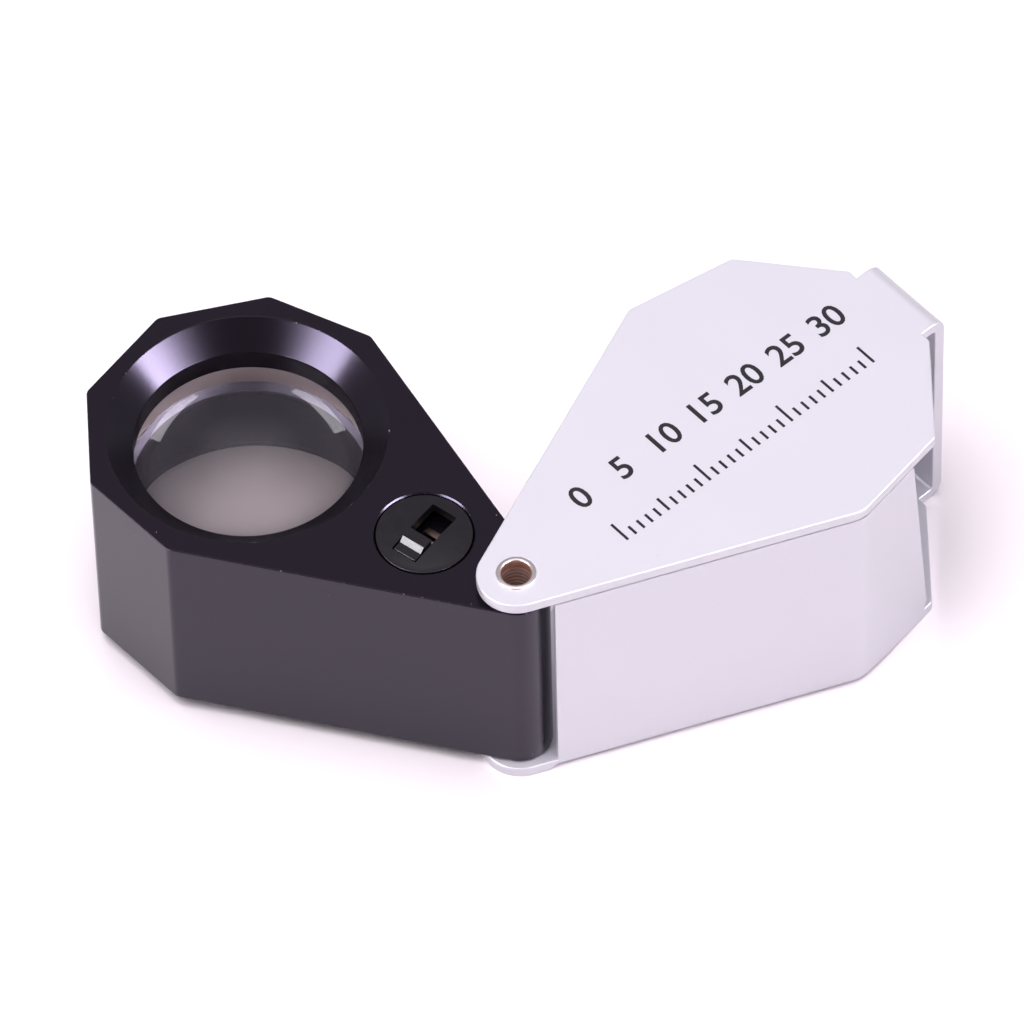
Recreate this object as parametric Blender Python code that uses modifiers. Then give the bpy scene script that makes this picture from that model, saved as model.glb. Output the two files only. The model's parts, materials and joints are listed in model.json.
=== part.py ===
"""Folding pocket loupe with a lit triplet lens, built as separate pieces around one pivot.

The cover is a bent shell of two leaves, an end strap and a side wall. The lens housing turns
between the leaves on a hollow rivet, and holds the triplet, its ring of lamps, three button
cells and a slide switch. Units are metres and +Z is up. The loupe stands open on the cover's
lower leaf, and its origin lies on that plane, under the middle of the open loupe.
"""

import math

import bmesh
import bpy
from mathutils import Matrix, Vector

# Pose: the half angle from +Y to each of the two axes, and where the pivot stands
OPEN_ANGLE = math.radians(101.6)
COVER_TURN = math.pi / 2 - OPEN_ANGLE / 2
HOUSING_TURN = math.pi / 2 + OPEN_ANGLE / 2
PIVOT = (-0.001006, -0.015643)

# Plan outline shared by the housing and the cover: seven sides of a nonagon and two long tapers
LENS_AXIS = 0.03056
FACE_TURN = math.radians(40)
TAPER_NORMAL = math.radians(113)
HOUSING_INRADIUS = 0.01445
HOUSING_NOSE = 0.0030
HOUSING_CORNER = 0.0010
LEAF_MARGIN = 0.00042
LEAF_NOSE = 0.00362
LEAF_CORNER = 0.0006
ROUND_STEPS = 56
SMALL_STEPS = 32

# Heights of the stack
SHEET = 0.0012
HOUSING_BASE = 0.0015
HOUSING_TOP = 0.02395
COVER_TOP = 0.0261
FIT_GAP = 0.00015

# Cover
STRAP_REACH = 0.0483
STRAP_HALF_WIDTH = 0.0044
STRAP_BEND = 0.0016
WALL_CLEARANCE = 0.00012
WALL_SHEET = 0.0005
WALL_START = 0.00245
WALL_BEND = 0.0030
WALL_TOP_GAP = 0.00015
EAR_END_TOP = 0.0020
EAR_END_BASE = 0.0043

# Pivot
RIVET_BORE = 0.00138
RIVET_RADIUS = 0.00162
RIVET_FLANGE = 0.00187
RIVET_LIP = 0.0002
PIVOT_HOLE = 0.00175
WASHER_RADIUS = 0.0028
WASHER_THIN = 0.0002
WASHER_THICK = 0.0007

# Lens bore and the rings under it
CONE_RADIUS = 0.01295
BORE_RADIUS = 0.0105
CONE_DEPTH = 0.00225
LENS_SEAT = 0.01950
BARREL_RADIUS = 0.01095
LAMP_CHAMBER_RADIUS = 0.0132
LAMP_CHAMBER_TOP = 0.0069
LENS_RADIUS = 0.0108
LENS_CURVE = 0.025
CEMENT_CURVE = 0.016
FLINT_RIM = 0.0030
CROWN_RIM = 0.00045
CEMENT_GAP = 0.00005
LENS_SEAT_GAP = 0.0002
SLEEVE_BORE = 0.0100
SLEEVE_BASE = 0.0020
RING_INNER = 0.0110
RING_OUTER = 0.0130
BOARD_BASE = 0.0056
BOARD_THICKNESS = 0.0008
LAMP_CIRCLE = 0.0120
LAMP_SIZE = (0.0013, 0.0022, 0.0009)
LAMP_COUNT = 6
RESISTOR_SIZE = (0.0008, 0.0016, 0.0005)
WINDOW_BASE = 0.0018
WINDOW_THICKNESS = 0.0012

# Battery compartment
CELL_AXIS = 0.0106
CELL_BORE = 0.00615
CELL_BORE_TOP = 0.0141
CELL_RADIUS = 0.0058
CELL_HEIGHT = 0.0030
CELL_PITCH = 0.00305
CELL_BASE = 0.0042
CELL_EDGE = 0.0004
CELL_SLEEVE = (0.0059, 0.00605)
CAP_RADIUS = 0.0060
CAP_BASE = 0.00155
CAP_THICKNESS = 0.0016
COIN_SLOT = (0.0088, 0.0013, 0.0008)
SPRING_WIRE = 0.0002
SPRING_TURNS = 2
SPRING_RADII = (0.0045, 0.0019)
CONTACT_RADIUS = 0.0044
CONTACT_THICKNESS = 0.0003
STEM_RADIUS = 0.0006
STEM_HOLE = 0.0009

# Switch, let into the top face between the lens and the pivot
SWITCH_AXIS = 0.0104
POCKET_RADIUS = 0.00455
POCKET_FLOOR = 0.0172
PLATE_RADIUS = 0.0044
PLATE_THICKNESS = 0.0009
SLOT_WIDTH = 0.0027
SLOT_LENGTH = 0.0062
KNOB_WIDTH = 0.0024
KNOB_LENGTH = 0.0025
KNOB_TOP = 0.0245
KNOB_OFFSET = 0.00175
KNOB_STEP = 0.0005
CARRIER = (0.0034, 0.0030, 0.0008)
CONTACT_STRIP = (0.0030, 0.0007, 0.0002)
STRIP_OFFSETS = (-0.0010, -0.0021)
STRIP_LEVEL = 0.0211
BRIDGE_STRIP = (0.0016, 0.0022, 0.0002)
SWITCH_BASE = (0.0184, 0.0208)
BASE_RECESS = (0.0022, 0.0052, 0.0016)

# Wires from the switch down to the lamp board
WIRE_RADIUS = 0.0003
WIRE_CHANNEL = 0.0005
WIRE_OFFSET = 0.0013
WIRE_LEVEL = 0.0178
WIRE_DROP = 0.0181
WIRE_START = 0.0119
WIRE_TURN = 0.0006

# Colour, roughness and metallic value of each finish
FINISHES = {
    "black_anodised": ((0.022, 0.020, 0.026), 0.42, 0.6),
    "satin_silver": ((0.80, 0.78, 0.83), 0.38, 1.0),
    "eyelet_metal": ((0.72, 0.68, 0.66), 0.25, 1.0),
    "washer_steel": ((0.45, 0.45, 0.47), 0.35, 1.0),
    "optical_glass": ((0.95, 0.97, 0.98), 0.03, 0.0),
    "dark_metal": ((0.05, 0.05, 0.055), 0.45, 0.8),
    "black_plastic": ((0.015, 0.015, 0.018), 0.35, 0.0),
    "circuit_board": ((0.85, 0.86, 0.84), 0.5, 0.0),
    "lamp_resin": ((0.95, 0.85, 0.35), 0.3, 0.0),
    "frosted_plastic": ((0.85, 0.87, 0.90), 0.5, 0.0),
    "resistor_ceramic": ((0.03, 0.03, 0.035), 0.4, 0.0),
    "cell_steel": ((0.75, 0.75, 0.74), 0.22, 1.0),
    "insulating_film": ((0.10, 0.12, 0.16), 0.5, 0.0),
    "contact_copper": ((0.55, 0.33, 0.20), 0.35, 1.0),
    "spring_steel": ((0.65, 0.64, 0.62), 0.3, 1.0),
    "wire_red": ((0.45, 0.02, 0.02), 0.45, 0.0),
    "wire_black": ((0.02, 0.02, 0.02), 0.45, 0.0),
}


def clear_scene():
    for item in list(bpy.data.objects):
        bpy.data.objects.remove(item, do_unlink=True)


def collection(name):
    made = bpy.data.collections.new(name)
    bpy.context.scene.collection.children.link(made)
    return made


def make_finish(name):
    colour, roughness, metallic = FINISHES[name]
    finish = bpy.data.materials.new(name)
    finish.use_nodes = True
    shader = finish.node_tree.nodes["Principled BSDF"]
    shader.inputs["Base Color"].default_value = (*colour, 1)
    shader.inputs["Roughness"].default_value = roughness
    shader.inputs["Metallic"].default_value = metallic
    return finish


clear_scene()
PARTS = collection("folding_loupe")
CUTTERS = collection("cutters")
MATERIALS = {name: make_finish(name) for name in FINISHES}


def frame(name, turn):
    """An empty on the pivot's axis, with its X axis along one half of the loupe."""
    empty = bpy.data.objects.new(name, None)
    empty.location = (*PIVOT, 0)
    empty.rotation_euler.z = turn
    empty.empty_display_size = 0.005
    PARTS.objects.link(empty)
    return empty


COVER_FRAME = frame("cover_frame", COVER_TURN)
HOUSING_FRAME = frame("housing_frame", HOUSING_TURN)


def place(name, data, parent, finish=None, location=(0, 0, 0), turn=0.0):
    """Adds an object: a part with its finish, or a cutter where no finish is given."""
    item = bpy.data.objects.new(name, data)
    item.location = location
    item.rotation_euler.z = turn
    item.parent = parent
    if finish:
        item.data.materials.append(MATERIALS[finish])
        PARTS.objects.link(item)
    else:
        item.hide_render = True
        item.display_type = "WIRE"
        CUTTERS.objects.link(item)
    return item


def turned_mesh(name, profile, steps, ring=False):
    """A mesh turned about Z from a profile of (radius, height) that runs down its outer side."""
    bm = bmesh.new()
    points = [bm.verts.new((radius, 0, height)) for radius, height in profile]
    for start, end in zip(points, points[1:]):
        bm.edges.new((start, end))
    if ring:
        bm.edges.new((points[-1], points[0]))
    mesh = bpy.data.meshes.new(name)
    bm.to_mesh(mesh)
    bm.free()
    guide = bpy.data.objects.new(name, mesh)
    bpy.context.scene.collection.objects.link(guide)
    screw = guide.modifiers.new("turn", "SCREW")
    screw.steps = steps
    screw.render_steps = steps
    screw.use_merge_vertices = True
    screw.merge_threshold = 1e-6
    screw.use_smooth_shade = True
    return baked(guide, name)


def baked(guide, name):
    """The guide's evaluated shape as a welded mesh. The guide is removed."""
    graph = bpy.context.evaluated_depsgraph_get()
    mesh = bpy.data.meshes.new_from_object(guide.evaluated_get(graph))
    mesh.name = name
    bm = bmesh.new()
    bm.from_mesh(mesh)
    bmesh.ops.remove_doubles(bm, verts=bm.verts, dist=1e-7)
    bm.to_mesh(mesh)
    bm.free()
    bpy.data.objects.remove(guide, do_unlink=True)
    mesh.set_sharp_from_angle(angle=math.radians(30))
    return mesh


def turned(name, profile, parent, finish=None, centre=(0, 0), steps=ROUND_STEPS, ring=False):
    mesh = turned_mesh(name, profile, steps, ring)
    return place(name, mesh, parent, finish, (*centre, 0))


def disc(radius, base, top):
    return [(0, top), (radius, top), (radius, base), (0, base)]


def tube(inner, outer, base, top):
    return [(outer, top), (outer, base), (inner, base), (inner, top)]


def plate_mesh(name, outline, base, top):
    """A flat outline in plan, filled and given its height."""
    curve = bpy.data.curves.new(name, "CURVE")
    curve.dimensions = "2D"
    curve.fill_mode = "BOTH"
    curve.extrude = (top - base) / 2
    spline = curve.splines.new("POLY")
    spline.points.add(len(outline) - 1)
    for point, place_on_plan in zip(spline.points, outline):
        point.co = (*place_on_plan, 0, 1)
    spline.use_cyclic_u = True
    guide = bpy.data.objects.new(name, curve)
    bpy.context.scene.collection.objects.link(guide)
    mesh = baked(guide, name)
    bpy.data.curves.remove(curve)
    mesh.transform(Matrix.Translation((0, 0, (top + base) / 2)))
    return mesh


def box_mesh(name, size, centre):
    bm = bmesh.new()
    bmesh.ops.create_cube(bm, size=1)
    bmesh.ops.scale(bm, vec=size, verts=bm.verts)
    bmesh.ops.translate(bm, vec=centre, verts=bm.verts)
    mesh = bpy.data.meshes.new(name)
    bm.to_mesh(mesh)
    bm.free()
    return mesh


def combine(item, other, operation):
    change = item.modifiers.new(other.name, "BOOLEAN")
    change.operation = operation
    change.solver = "EXACT"
    change.object = other


def direction(angle):
    return Vector((math.cos(angle), math.sin(angle)))


def meeting(side_a, side_b):
    """Where two straight sides cross. A side is its outward normal's angle and its reach."""
    (angle_a, reach_a), (angle_b, reach_b) = side_a, side_b
    spread = math.sin(angle_b - angle_a)
    x = (reach_a * math.sin(angle_b) - reach_b * math.sin(angle_a)) / spread
    y = (reach_b * math.cos(angle_a) - reach_a * math.cos(angle_b)) / spread
    return Vector((x, y))


def lens_side(turns, inradius):
    """One side of the nonagon about the lens axis, counted in face turns from the far end."""
    angle = turns * FACE_TURN
    return angle, inradius + LENS_AXIS * math.cos(angle)


def arc(centre, radius, start, end, steps):
    return [centre + radius * direction(start + (end - start) * i / steps) for i in range(steps + 1)]


def rounded_corner(side_a, side_b, radius, steps=3):
    """An arc tangent to two sides, from the first to the second, which turns left."""
    inner_a = (side_a[0], side_a[1] - radius)
    inner_b = (side_b[0], side_b[1] - radius)
    return arc(meeting(inner_a, inner_b), radius, side_a[0], side_b[0], steps)


def teardrop(nose, inradii, corner_radii):
    """The outline seen from above, anticlockwise: taper, five faces, taper, nose arc."""
    first = -TAPER_NORMAL
    sides = [(first, nose)]
    sides += [lens_side(turns, reach) for turns, reach in zip((-2, -1, 0, 1, 2), inradii)]
    sides.append((TAPER_NORMAL, nose))
    points = []
    for side_a, side_b, radius in zip(sides, sides[1:], corner_radii):
        points += rounded_corner(side_a, side_b, radius)
    return points + arc(Vector((0, 0)), nose, TAPER_NORMAL, 2 * math.pi - TAPER_NORMAL, 18)


def make_cover():
    """Two leaves and the end strap from one bent sheet, and the wall along one taper."""
    leaf_inradius = HOUSING_INRADIUS + LEAF_MARGIN
    wall_outer = WALL_CLEARANCE + WALL_SHEET
    wall_side_inradius = HOUSING_INRADIUS + wall_outer
    leaf = teardrop(
        LEAF_NOSE,
        [wall_side_inradius] + [leaf_inradius] * 4,
        [WALL_BEND] + [LEAF_CORNER] * 5,
    )
    # The sheet in side view, bent at both ends of the strap, then turned upright
    outer = STRAP_BEND
    inner = STRAP_BEND - SHEET
    bend_x = STRAP_REACH - STRAP_BEND
    low = Vector((bend_x, outer))
    high = Vector((bend_x, COVER_TOP - outer))
    right_angle = math.pi / 2
    side_view = [Vector((-2 * LEAF_NOSE, 0))]
    side_view += arc(low, outer, -right_angle, 0, 6) + arc(high, outer, 0, right_angle, 6)
    side_view += [Vector((-2 * LEAF_NOSE, COVER_TOP)), Vector((-2 * LEAF_NOSE, COVER_TOP - SHEET))]
    side_view += arc(high, inner, right_angle, 0, 4) + arc(low, inner, 0, -right_angle, 4)
    side_view.append(Vector((-2 * LEAF_NOSE, SHEET)))
    half_width = 1.3 * HOUSING_INRADIUS
    sheet = plate_mesh("cover", side_view, -half_width, half_width)
    sheet.transform(Matrix.Rotation(right_angle, 4, "X"))
    cover = place("cover", sheet, COVER_FRAME, "satin_silver")

    margin = 0.004
    outline = plate_mesh("leaf_outline", leaf, -margin, COVER_TOP + margin)
    outline = place("leaf_outline", outline, COVER_FRAME)
    tab_start = LENS_AXIS
    tab_size = (STRAP_REACH + margin - tab_start, 2 * STRAP_HALF_WIDTH, COVER_TOP + margin)
    tab_centre = (tab_start + tab_size[0] / 2, 0, COVER_TOP / 2)
    tab = place("strap_outline", box_mesh("strap_outline", tab_size, tab_centre), COVER_FRAME)
    combine(outline, tab, "UNION")
    combine(cover, outline, "INTERSECT")

    hole = disc(RIVET_RADIUS + FIT_GAP / 2, -margin, COVER_TOP + margin)
    combine(cover, turned("rivet_hole", hole, COVER_FRAME, steps=SMALL_STEPS), "DIFFERENCE")
    seat = disc(RIVET_FLANGE + FIT_GAP, -margin, 2 * RIVET_LIP)
    combine(cover, turned("rivet_seat", seat, COVER_FRAME, steps=SMALL_STEPS), "DIFFERENCE")

    wall = place("wall_blank", wall_mesh(), COVER_FRAME)
    combine(wall, place("ear_cut", ear_cut_mesh(), COVER_FRAME), "DIFFERENCE")
    combine(cover, wall, "UNION")


def wall_sides():
    """The taper and the first face that the wall follows, as reaches of its inner surface."""
    taper = (-TAPER_NORMAL, HOUSING_NOSE + WALL_CLEARANCE)
    face = lens_side(-2, HOUSING_INRADIUS + WALL_CLEARANCE)
    return taper, face


def wall_mesh():
    """The wall in plan: along the taper, round a bend, and along the first face."""
    taper, face = wall_sides()
    taper_out = (taper[0], taper[1] + WALL_SHEET)
    face_out = (face[0], face[1] + WALL_SHEET)
    along_taper = direction(taper[0] + math.pi / 2)
    along_face = direction(face[0] + math.pi / 2)
    face_foot = Vector((LENS_AXIS, 0))
    face_end = face_foot + direction(face[0]) * (HOUSING_INRADIUS + WALL_CLEARANCE)
    face_end += along_face * (EAR_END_BASE + WALL_SHEET)
    outline = [direction(taper[0]) * taper_out[1] + along_taper * WALL_START]
    outline += rounded_corner(taper_out, face_out, WALL_BEND, 5)
    outline.append(face_end + direction(face[0]) * WALL_SHEET)
    outline.append(face_end)
    outline += reversed(rounded_corner(taper, face, WALL_BEND - WALL_SHEET, 5))
    outline.append(direction(taper[0]) * taper[1] + along_taper * WALL_START)
    return plate_mesh("wall_blank", outline, SHEET / 2, COVER_TOP - SHEET - WALL_TOP_GAP)


def ear_cut_mesh():
    """A block whose near face leans, for the sloping end of the wall."""
    rise = COVER_TOP
    lean = EAR_END_BASE - EAR_END_TOP
    width = 0.004
    side_view = [
        Vector((EAR_END_BASE, SHEET)),
        Vector((EAR_END_BASE + width, SHEET)),
        Vector((EAR_END_BASE + width, rise)),
        Vector((EAR_END_BASE - lean, rise)),
    ]
    mesh = plate_mesh("ear_cut", side_view, -width / 2, width / 2)
    mesh.transform(Matrix.Rotation(math.pi / 2, 4, "X"))
    face_angle = wall_sides()[1][0]
    mesh.transform(Matrix.Rotation(face_angle + math.pi / 2, 4, "Z"))
    foot = Vector((LENS_AXIS, 0)) + direction(face_angle) * HOUSING_INRADIUS
    mesh.transform(Matrix.Translation((*foot, 0)))
    return mesh


def make_pivot():
    """The hollow rivet, rolled over at both ends, and a washer on each side of the housing."""
    base = RIVET_LIP / 2
    top = COVER_TOP + RIVET_LIP
    lower_seat = 2 * RIVET_LIP - FIT_GAP
    rivet = [
        (RIVET_RADIUS, top),
        (RIVET_FLANGE, COVER_TOP + RIVET_LIP / 2),
        (RIVET_FLANGE, COVER_TOP + FIT_GAP / 3),
        (RIVET_RADIUS, COVER_TOP + FIT_GAP / 3),
        (RIVET_RADIUS, lower_seat),
        (RIVET_FLANGE, lower_seat),
        (RIVET_FLANGE, base),
        (RIVET_BORE, base),
        (RIVET_BORE, top - RIVET_LIP / 2),
        ((RIVET_BORE + RIVET_RADIUS) / 2, top),
    ]
    turned("pivot_rivet", rivet, COVER_FRAME, "eyelet_metal", steps=SMALL_STEPS, ring=True)
    low_middle = (SHEET + HOUSING_BASE) / 2
    high_middle = (HOUSING_TOP + COVER_TOP - SHEET) / 2
    washers = (
        ("pivot_washer_lower", low_middle, WASHER_THIN),
        ("pivot_washer_upper", high_middle, WASHER_THICK),
    )
    for name, middle, thickness in washers:
        profile = tube(PIVOT_HOLE, WASHER_RADIUS, middle - thickness / 2, middle + thickness / 2)
        turned(name, profile, COVER_FRAME, "washer_steel", steps=SMALL_STEPS, ring=True)


def make_housing():
    """The solid housing with its lens bore, lamp chamber, cell bore, switch pocket and channels."""
    outline = teardrop(HOUSING_NOSE, [HOUSING_INRADIUS] * 5, [HOUSING_CORNER] * 6)
    body = plate_mesh("lens_housing", outline, HOUSING_BASE, HOUSING_TOP)
    housing = place("lens_housing", body, HOUSING_FRAME, "black_anodised")
    over = 0.002
    slope = (CONE_RADIUS - BORE_RADIUS) / CONE_DEPTH
    bore = [
        (0, HOUSING_TOP + over),
        (CONE_RADIUS + over * slope, HOUSING_TOP + over),
        (BORE_RADIUS, HOUSING_TOP - CONE_DEPTH),
        (BORE_RADIUS, LENS_SEAT),
        (BARREL_RADIUS, LENS_SEAT),
        (BARREL_RADIUS, LAMP_CHAMBER_TOP),
        (LAMP_CHAMBER_RADIUS, LAMP_CHAMBER_TOP),
        (LAMP_CHAMBER_RADIUS, HOUSING_BASE - over),
        (0, HOUSING_BASE - over),
    ]
    cutters = [turned("lens_bore", bore, HOUSING_FRAME, centre=(LENS_AXIS, 0))]
    rounds = (
        ("cell_bore", CELL_BORE, CELL_AXIS, HOUSING_BASE - over, CELL_BORE_TOP),
        ("switch_pocket", POCKET_RADIUS, SWITCH_AXIS, POCKET_FLOOR, HOUSING_TOP + over),
        ("stem_hole", STEM_HOLE, SWITCH_AXIS, CELL_BORE_TOP - over, POCKET_FLOOR + over),
        ("pivot_hole", PIVOT_HOLE, 0, HOUSING_BASE - over, HOUSING_TOP + over),
    )
    for name, radius, along, base, top in rounds:
        profile = disc(radius, base, top)
        steps = SMALL_STEPS if radius < 0.002 else ROUND_STEPS
        cutters.append(turned(name, profile, HOUSING_FRAME, centre=(along, 0), steps=steps))
    for side in (1, -1):
        name = "wire_way_left" if side > 0 else "wire_way_right"
        drop_height = WIRE_LEVEL + WIRE_CHANNEL - LAMP_CHAMBER_TOP + over
        drop_size = (2 * WIRE_CHANNEL, 2 * WIRE_CHANNEL, drop_height)
        drop_centre = (WIRE_DROP, side * WIRE_OFFSET, WIRE_LEVEL + WIRE_CHANNEL - drop_height / 2)
        drop = place(name, box_mesh(name, drop_size, drop_centre), HOUSING_FRAME)
        run_start = SWITCH_AXIS + POCKET_RADIUS / 2
        run_size = (WIRE_DROP + WIRE_CHANNEL - run_start, 2 * WIRE_CHANNEL, 2 * WIRE_CHANNEL)
        run_centre = (run_start + run_size[0] / 2, side * WIRE_OFFSET, WIRE_LEVEL)
        run = place(name + "_run", box_mesh(name, run_size, run_centre), HOUSING_FRAME)
        cutters += [drop, run]
    for cutter in cutters:
        combine(housing, cutter, "DIFFERENCE")


def dome(curve, radius, rim, upward, steps=6):
    """Points of a spherical surface from the axis out to its rim."""
    depth = math.sqrt(curve**2 - radius**2)
    points = []
    for i in range(steps + 1):
        distance = radius * i / steps
        rise = math.sqrt(curve**2 - distance**2) - depth
        points.append((distance, rim + rise if upward else rim - rise))
    return points


def make_lens():
    """Three elements on one axis: a thick crown between two menisci."""
    front_top = LENS_SEAT - LENS_SEAT_GAP
    front_base = front_top - FLINT_RIM
    crown_top = front_base - CEMENT_GAP
    crown_base = crown_top - CROWN_RIM
    rear_top = crown_base - CEMENT_GAP
    rear_base = rear_top - FLINT_RIM
    front = dome(LENS_CURVE, LENS_RADIUS, front_top, True)
    front += reversed(dome(CEMENT_CURVE, LENS_RADIUS, front_base, True))
    crown = dome(CEMENT_CURVE, LENS_RADIUS, crown_top, True)
    crown += reversed(dome(CEMENT_CURVE, LENS_RADIUS, crown_base, False))
    rear = dome(CEMENT_CURVE, LENS_RADIUS, rear_top, False)
    rear += reversed(dome(LENS_CURVE, LENS_RADIUS, rear_base, False))
    elements = (("lens_front", front), ("lens_middle", crown), ("lens_rear", rear))
    for name, profile in elements:
        turned(name, profile, HOUSING_FRAME, "optical_glass", (LENS_AXIS, 0), 40)
    seat = rear_base - FIT_GAP
    fall = math.sqrt(LENS_CURVE**2 - SLEEVE_BORE**2) - math.sqrt(LENS_CURVE**2 - LENS_RADIUS**2)
    sleeve = tube(SLEEVE_BORE, LENS_RADIUS, SLEEVE_BASE, seat)
    sleeve[-1] = (SLEEVE_BORE, seat - fall)
    turned("lens_sleeve", sleeve, HOUSING_FRAME, "dark_metal", (LENS_AXIS, 0), ring=True)


def make_lamps():
    """The ring board, its six lamps and resistor, and the frosted ring that covers them."""
    board = tube(RING_INNER, RING_OUTER, BOARD_BASE, BOARD_BASE + BOARD_THICKNESS)
    turned("lamp_board", board, HOUSING_FRAME, "circuit_board", (LENS_AXIS, 0), ring=True)
    window = tube(RING_INNER, RING_OUTER, WINDOW_BASE, WINDOW_BASE + WINDOW_THICKNESS)
    turned("lamp_window", window, HOUSING_FRAME, "frosted_plastic", (LENS_AXIS, 0), ring=True)
    lamp_level = BOARD_BASE - FIT_GAP - LAMP_SIZE[2] / 2
    for i in range(LAMP_COUNT):
        angle = 2 * math.pi * (i + 0.5) / LAMP_COUNT
        spot = Vector((LENS_AXIS, 0)) + LAMP_CIRCLE * direction(angle)
        name = f"lamp_{i + 1}"
        mesh = box_mesh(name, LAMP_SIZE, (0, 0, 0))
        place(name, mesh, HOUSING_FRAME, "lamp_resin", (*spot, lamp_level), angle)
    spot = Vector((LENS_AXIS + LAMP_CIRCLE, 0))
    mesh = box_mesh("lamp_resistor", RESISTOR_SIZE, (0, 0, 0))
    place("lamp_resistor", mesh, HOUSING_FRAME, "resistor_ceramic", (*spot, lamp_level))


def make_cells():
    """Three button cells in their sleeve, the contact above them, and the cap below."""
    centre = (CELL_AXIS, 0)
    edge = CELL_EDGE
    for i in range(3):
        base = CELL_BASE + i * CELL_PITCH
        top = base + CELL_HEIGHT
        can = [
            (0, top),
            (CELL_RADIUS - edge, top),
            (CELL_RADIUS, top - edge),
            (CELL_RADIUS, base + 2 * edge),
            (CELL_RADIUS - 2 * edge, base + edge),
            (CELL_RADIUS - 2 * edge, base),
            (0, base),
        ]
        turned(f"button_cell_{i + 1}", can, HOUSING_FRAME, "cell_steel", centre, 40)
    stack_top = CELL_BASE + 3 * CELL_PITCH
    sleeve = tube(*CELL_SLEEVE, CAP_BASE + CAP_THICKNESS + FIT_GAP, stack_top)
    turned("cell_sleeve", sleeve, HOUSING_FRAME, "insulating_film", centre, 40, ring=True)
    plate_base = stack_top + FIT_GAP
    plate_top = plate_base + CONTACT_THICKNESS
    contact = [
        (0, SWITCH_BASE[0] - 2 * FIT_GAP),
        (STEM_RADIUS, SWITCH_BASE[0] - 2 * FIT_GAP),
        (STEM_RADIUS, plate_top),
        (CONTACT_RADIUS, plate_top),
        (CONTACT_RADIUS, plate_base),
        (0, plate_base),
    ]
    turned("cell_contact", contact, HOUSING_FRAME, "contact_copper", (SWITCH_AXIS, 0), SMALL_STEPS)

    cap_top = CAP_BASE + CAP_THICKNESS
    profile = disc(CAP_RADIUS, CAP_BASE, cap_top)
    cap = turned("battery_cap", profile, HOUSING_FRAME, "black_plastic", centre)
    slot_centre = (CELL_AXIS, 0, CAP_BASE + COIN_SLOT[2] / 2 - FIT_GAP)
    slot = place("coin_slot", box_mesh("coin_slot", COIN_SLOT, slot_centre), HOUSING_FRAME)
    combine(cap, slot, "DIFFERENCE")
    make_spring(cap_top + FIT_GAP + SPRING_WIRE, CELL_BASE - FIT_GAP - SPRING_WIRE)


def make_spring(base, top):
    """A flat conical coil on the cap, which presses the cells up."""
    points = 22 * SPRING_TURNS
    wide, narrow = SPRING_RADII
    route = []
    for i in range(points + 1):
        part = i / points
        spot = (wide + (narrow - wide) * part) * direction(2 * math.pi * SPRING_TURNS * part)
        route.append((*spot, base + (top - base) * part))
    make_tube("cap_spring", route, SPRING_WIRE, "spring_steel", (CELL_AXIS, 0, 0))


def make_tube(name, route, radius, finish, location=(0, 0, 0)):
    curve = bpy.data.curves.new(name, "CURVE")
    curve.dimensions = "3D"
    curve.bevel_depth = radius
    curve.bevel_resolution = 1
    curve.use_fill_caps = True
    spline = curve.splines.new("POLY")
    spline.points.add(len(route) - 1)
    for point, spot in zip(spline.points, route):
        point.co = (*spot, 1)
    place(name, curve, HOUSING_FRAME, finish, location)


def make_switch():
    """The round plate with its slot, the slider under it, the contacts and the insulating base."""
    centre = (SWITCH_AXIS, 0)
    plate_top = HOUSING_TOP - FIT_GAP / 3
    plate_base = plate_top - PLATE_THICKNESS
    profile = disc(PLATE_RADIUS, plate_base, plate_top)
    plate = turned("switch_plate", profile, HOUSING_FRAME, "black_plastic", centre)
    slot_size = (SLOT_WIDTH, SLOT_LENGTH, 4 * PLATE_THICKNESS)
    slot = box_mesh("switch_slot", slot_size, (*centre, plate_top))
    combine(plate, place("switch_slot", slot, HOUSING_FRAME), "DIFFERENCE")

    profile = disc(PLATE_RADIUS, *SWITCH_BASE)
    base = turned("switch_base", profile, HOUSING_FRAME, "black_plastic", centre, 40)
    recess = box_mesh("base_recess", BASE_RECESS, (*centre, SWITCH_BASE[1]))
    combine(base, place("base_recess", recess, HOUSING_FRAME), "DIFFERENCE")

    for i, offset in enumerate(STRIP_OFFSETS):
        name = f"switch_contact_{i + 1}"
        mesh = box_mesh(name, CONTACT_STRIP, (0, 0, 0))
        place(name, mesh, HOUSING_FRAME, "contact_copper", (SWITCH_AXIS, offset, STRIP_LEVEL))

    carrier_top = plate_base - FIT_GAP
    carrier_base = carrier_top - CARRIER[2]
    carrier = box_mesh("switch_slider", CARRIER, (0, 0, carrier_base + CARRIER[2] / 2))
    spot = (SWITCH_AXIS, KNOB_OFFSET, 0)
    slider = place("switch_slider", carrier, HOUSING_FRAME, "black_plastic", spot)
    knob_base = carrier_base + CARRIER[2] / 2
    knob_size = (KNOB_WIDTH, KNOB_LENGTH, KNOB_TOP - knob_base)
    knob_centre = (SWITCH_AXIS, KNOB_OFFSET, knob_base + knob_size[2] / 2)
    knob = place("knob_blank", box_mesh("knob_blank", knob_size, knob_centre), HOUSING_FRAME)
    step_size = (2 * KNOB_WIDTH, KNOB_LENGTH / 2, 2 * KNOB_STEP)
    step_centre = (SWITCH_AXIS, KNOB_OFFSET + KNOB_LENGTH / 2, KNOB_TOP)
    step = place("knob_step", box_mesh("knob_step", step_size, step_centre), HOUSING_FRAME)
    combine(knob, step, "DIFFERENCE")
    combine(slider, knob, "UNION")
    bridge_level = carrier_base - FIT_GAP - BRIDGE_STRIP[2] / 2
    bridge = box_mesh("slider_contact", BRIDGE_STRIP, (0, 0, bridge_level))
    place("slider_contact", bridge, HOUSING_FRAME, "contact_copper", spot)


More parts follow.
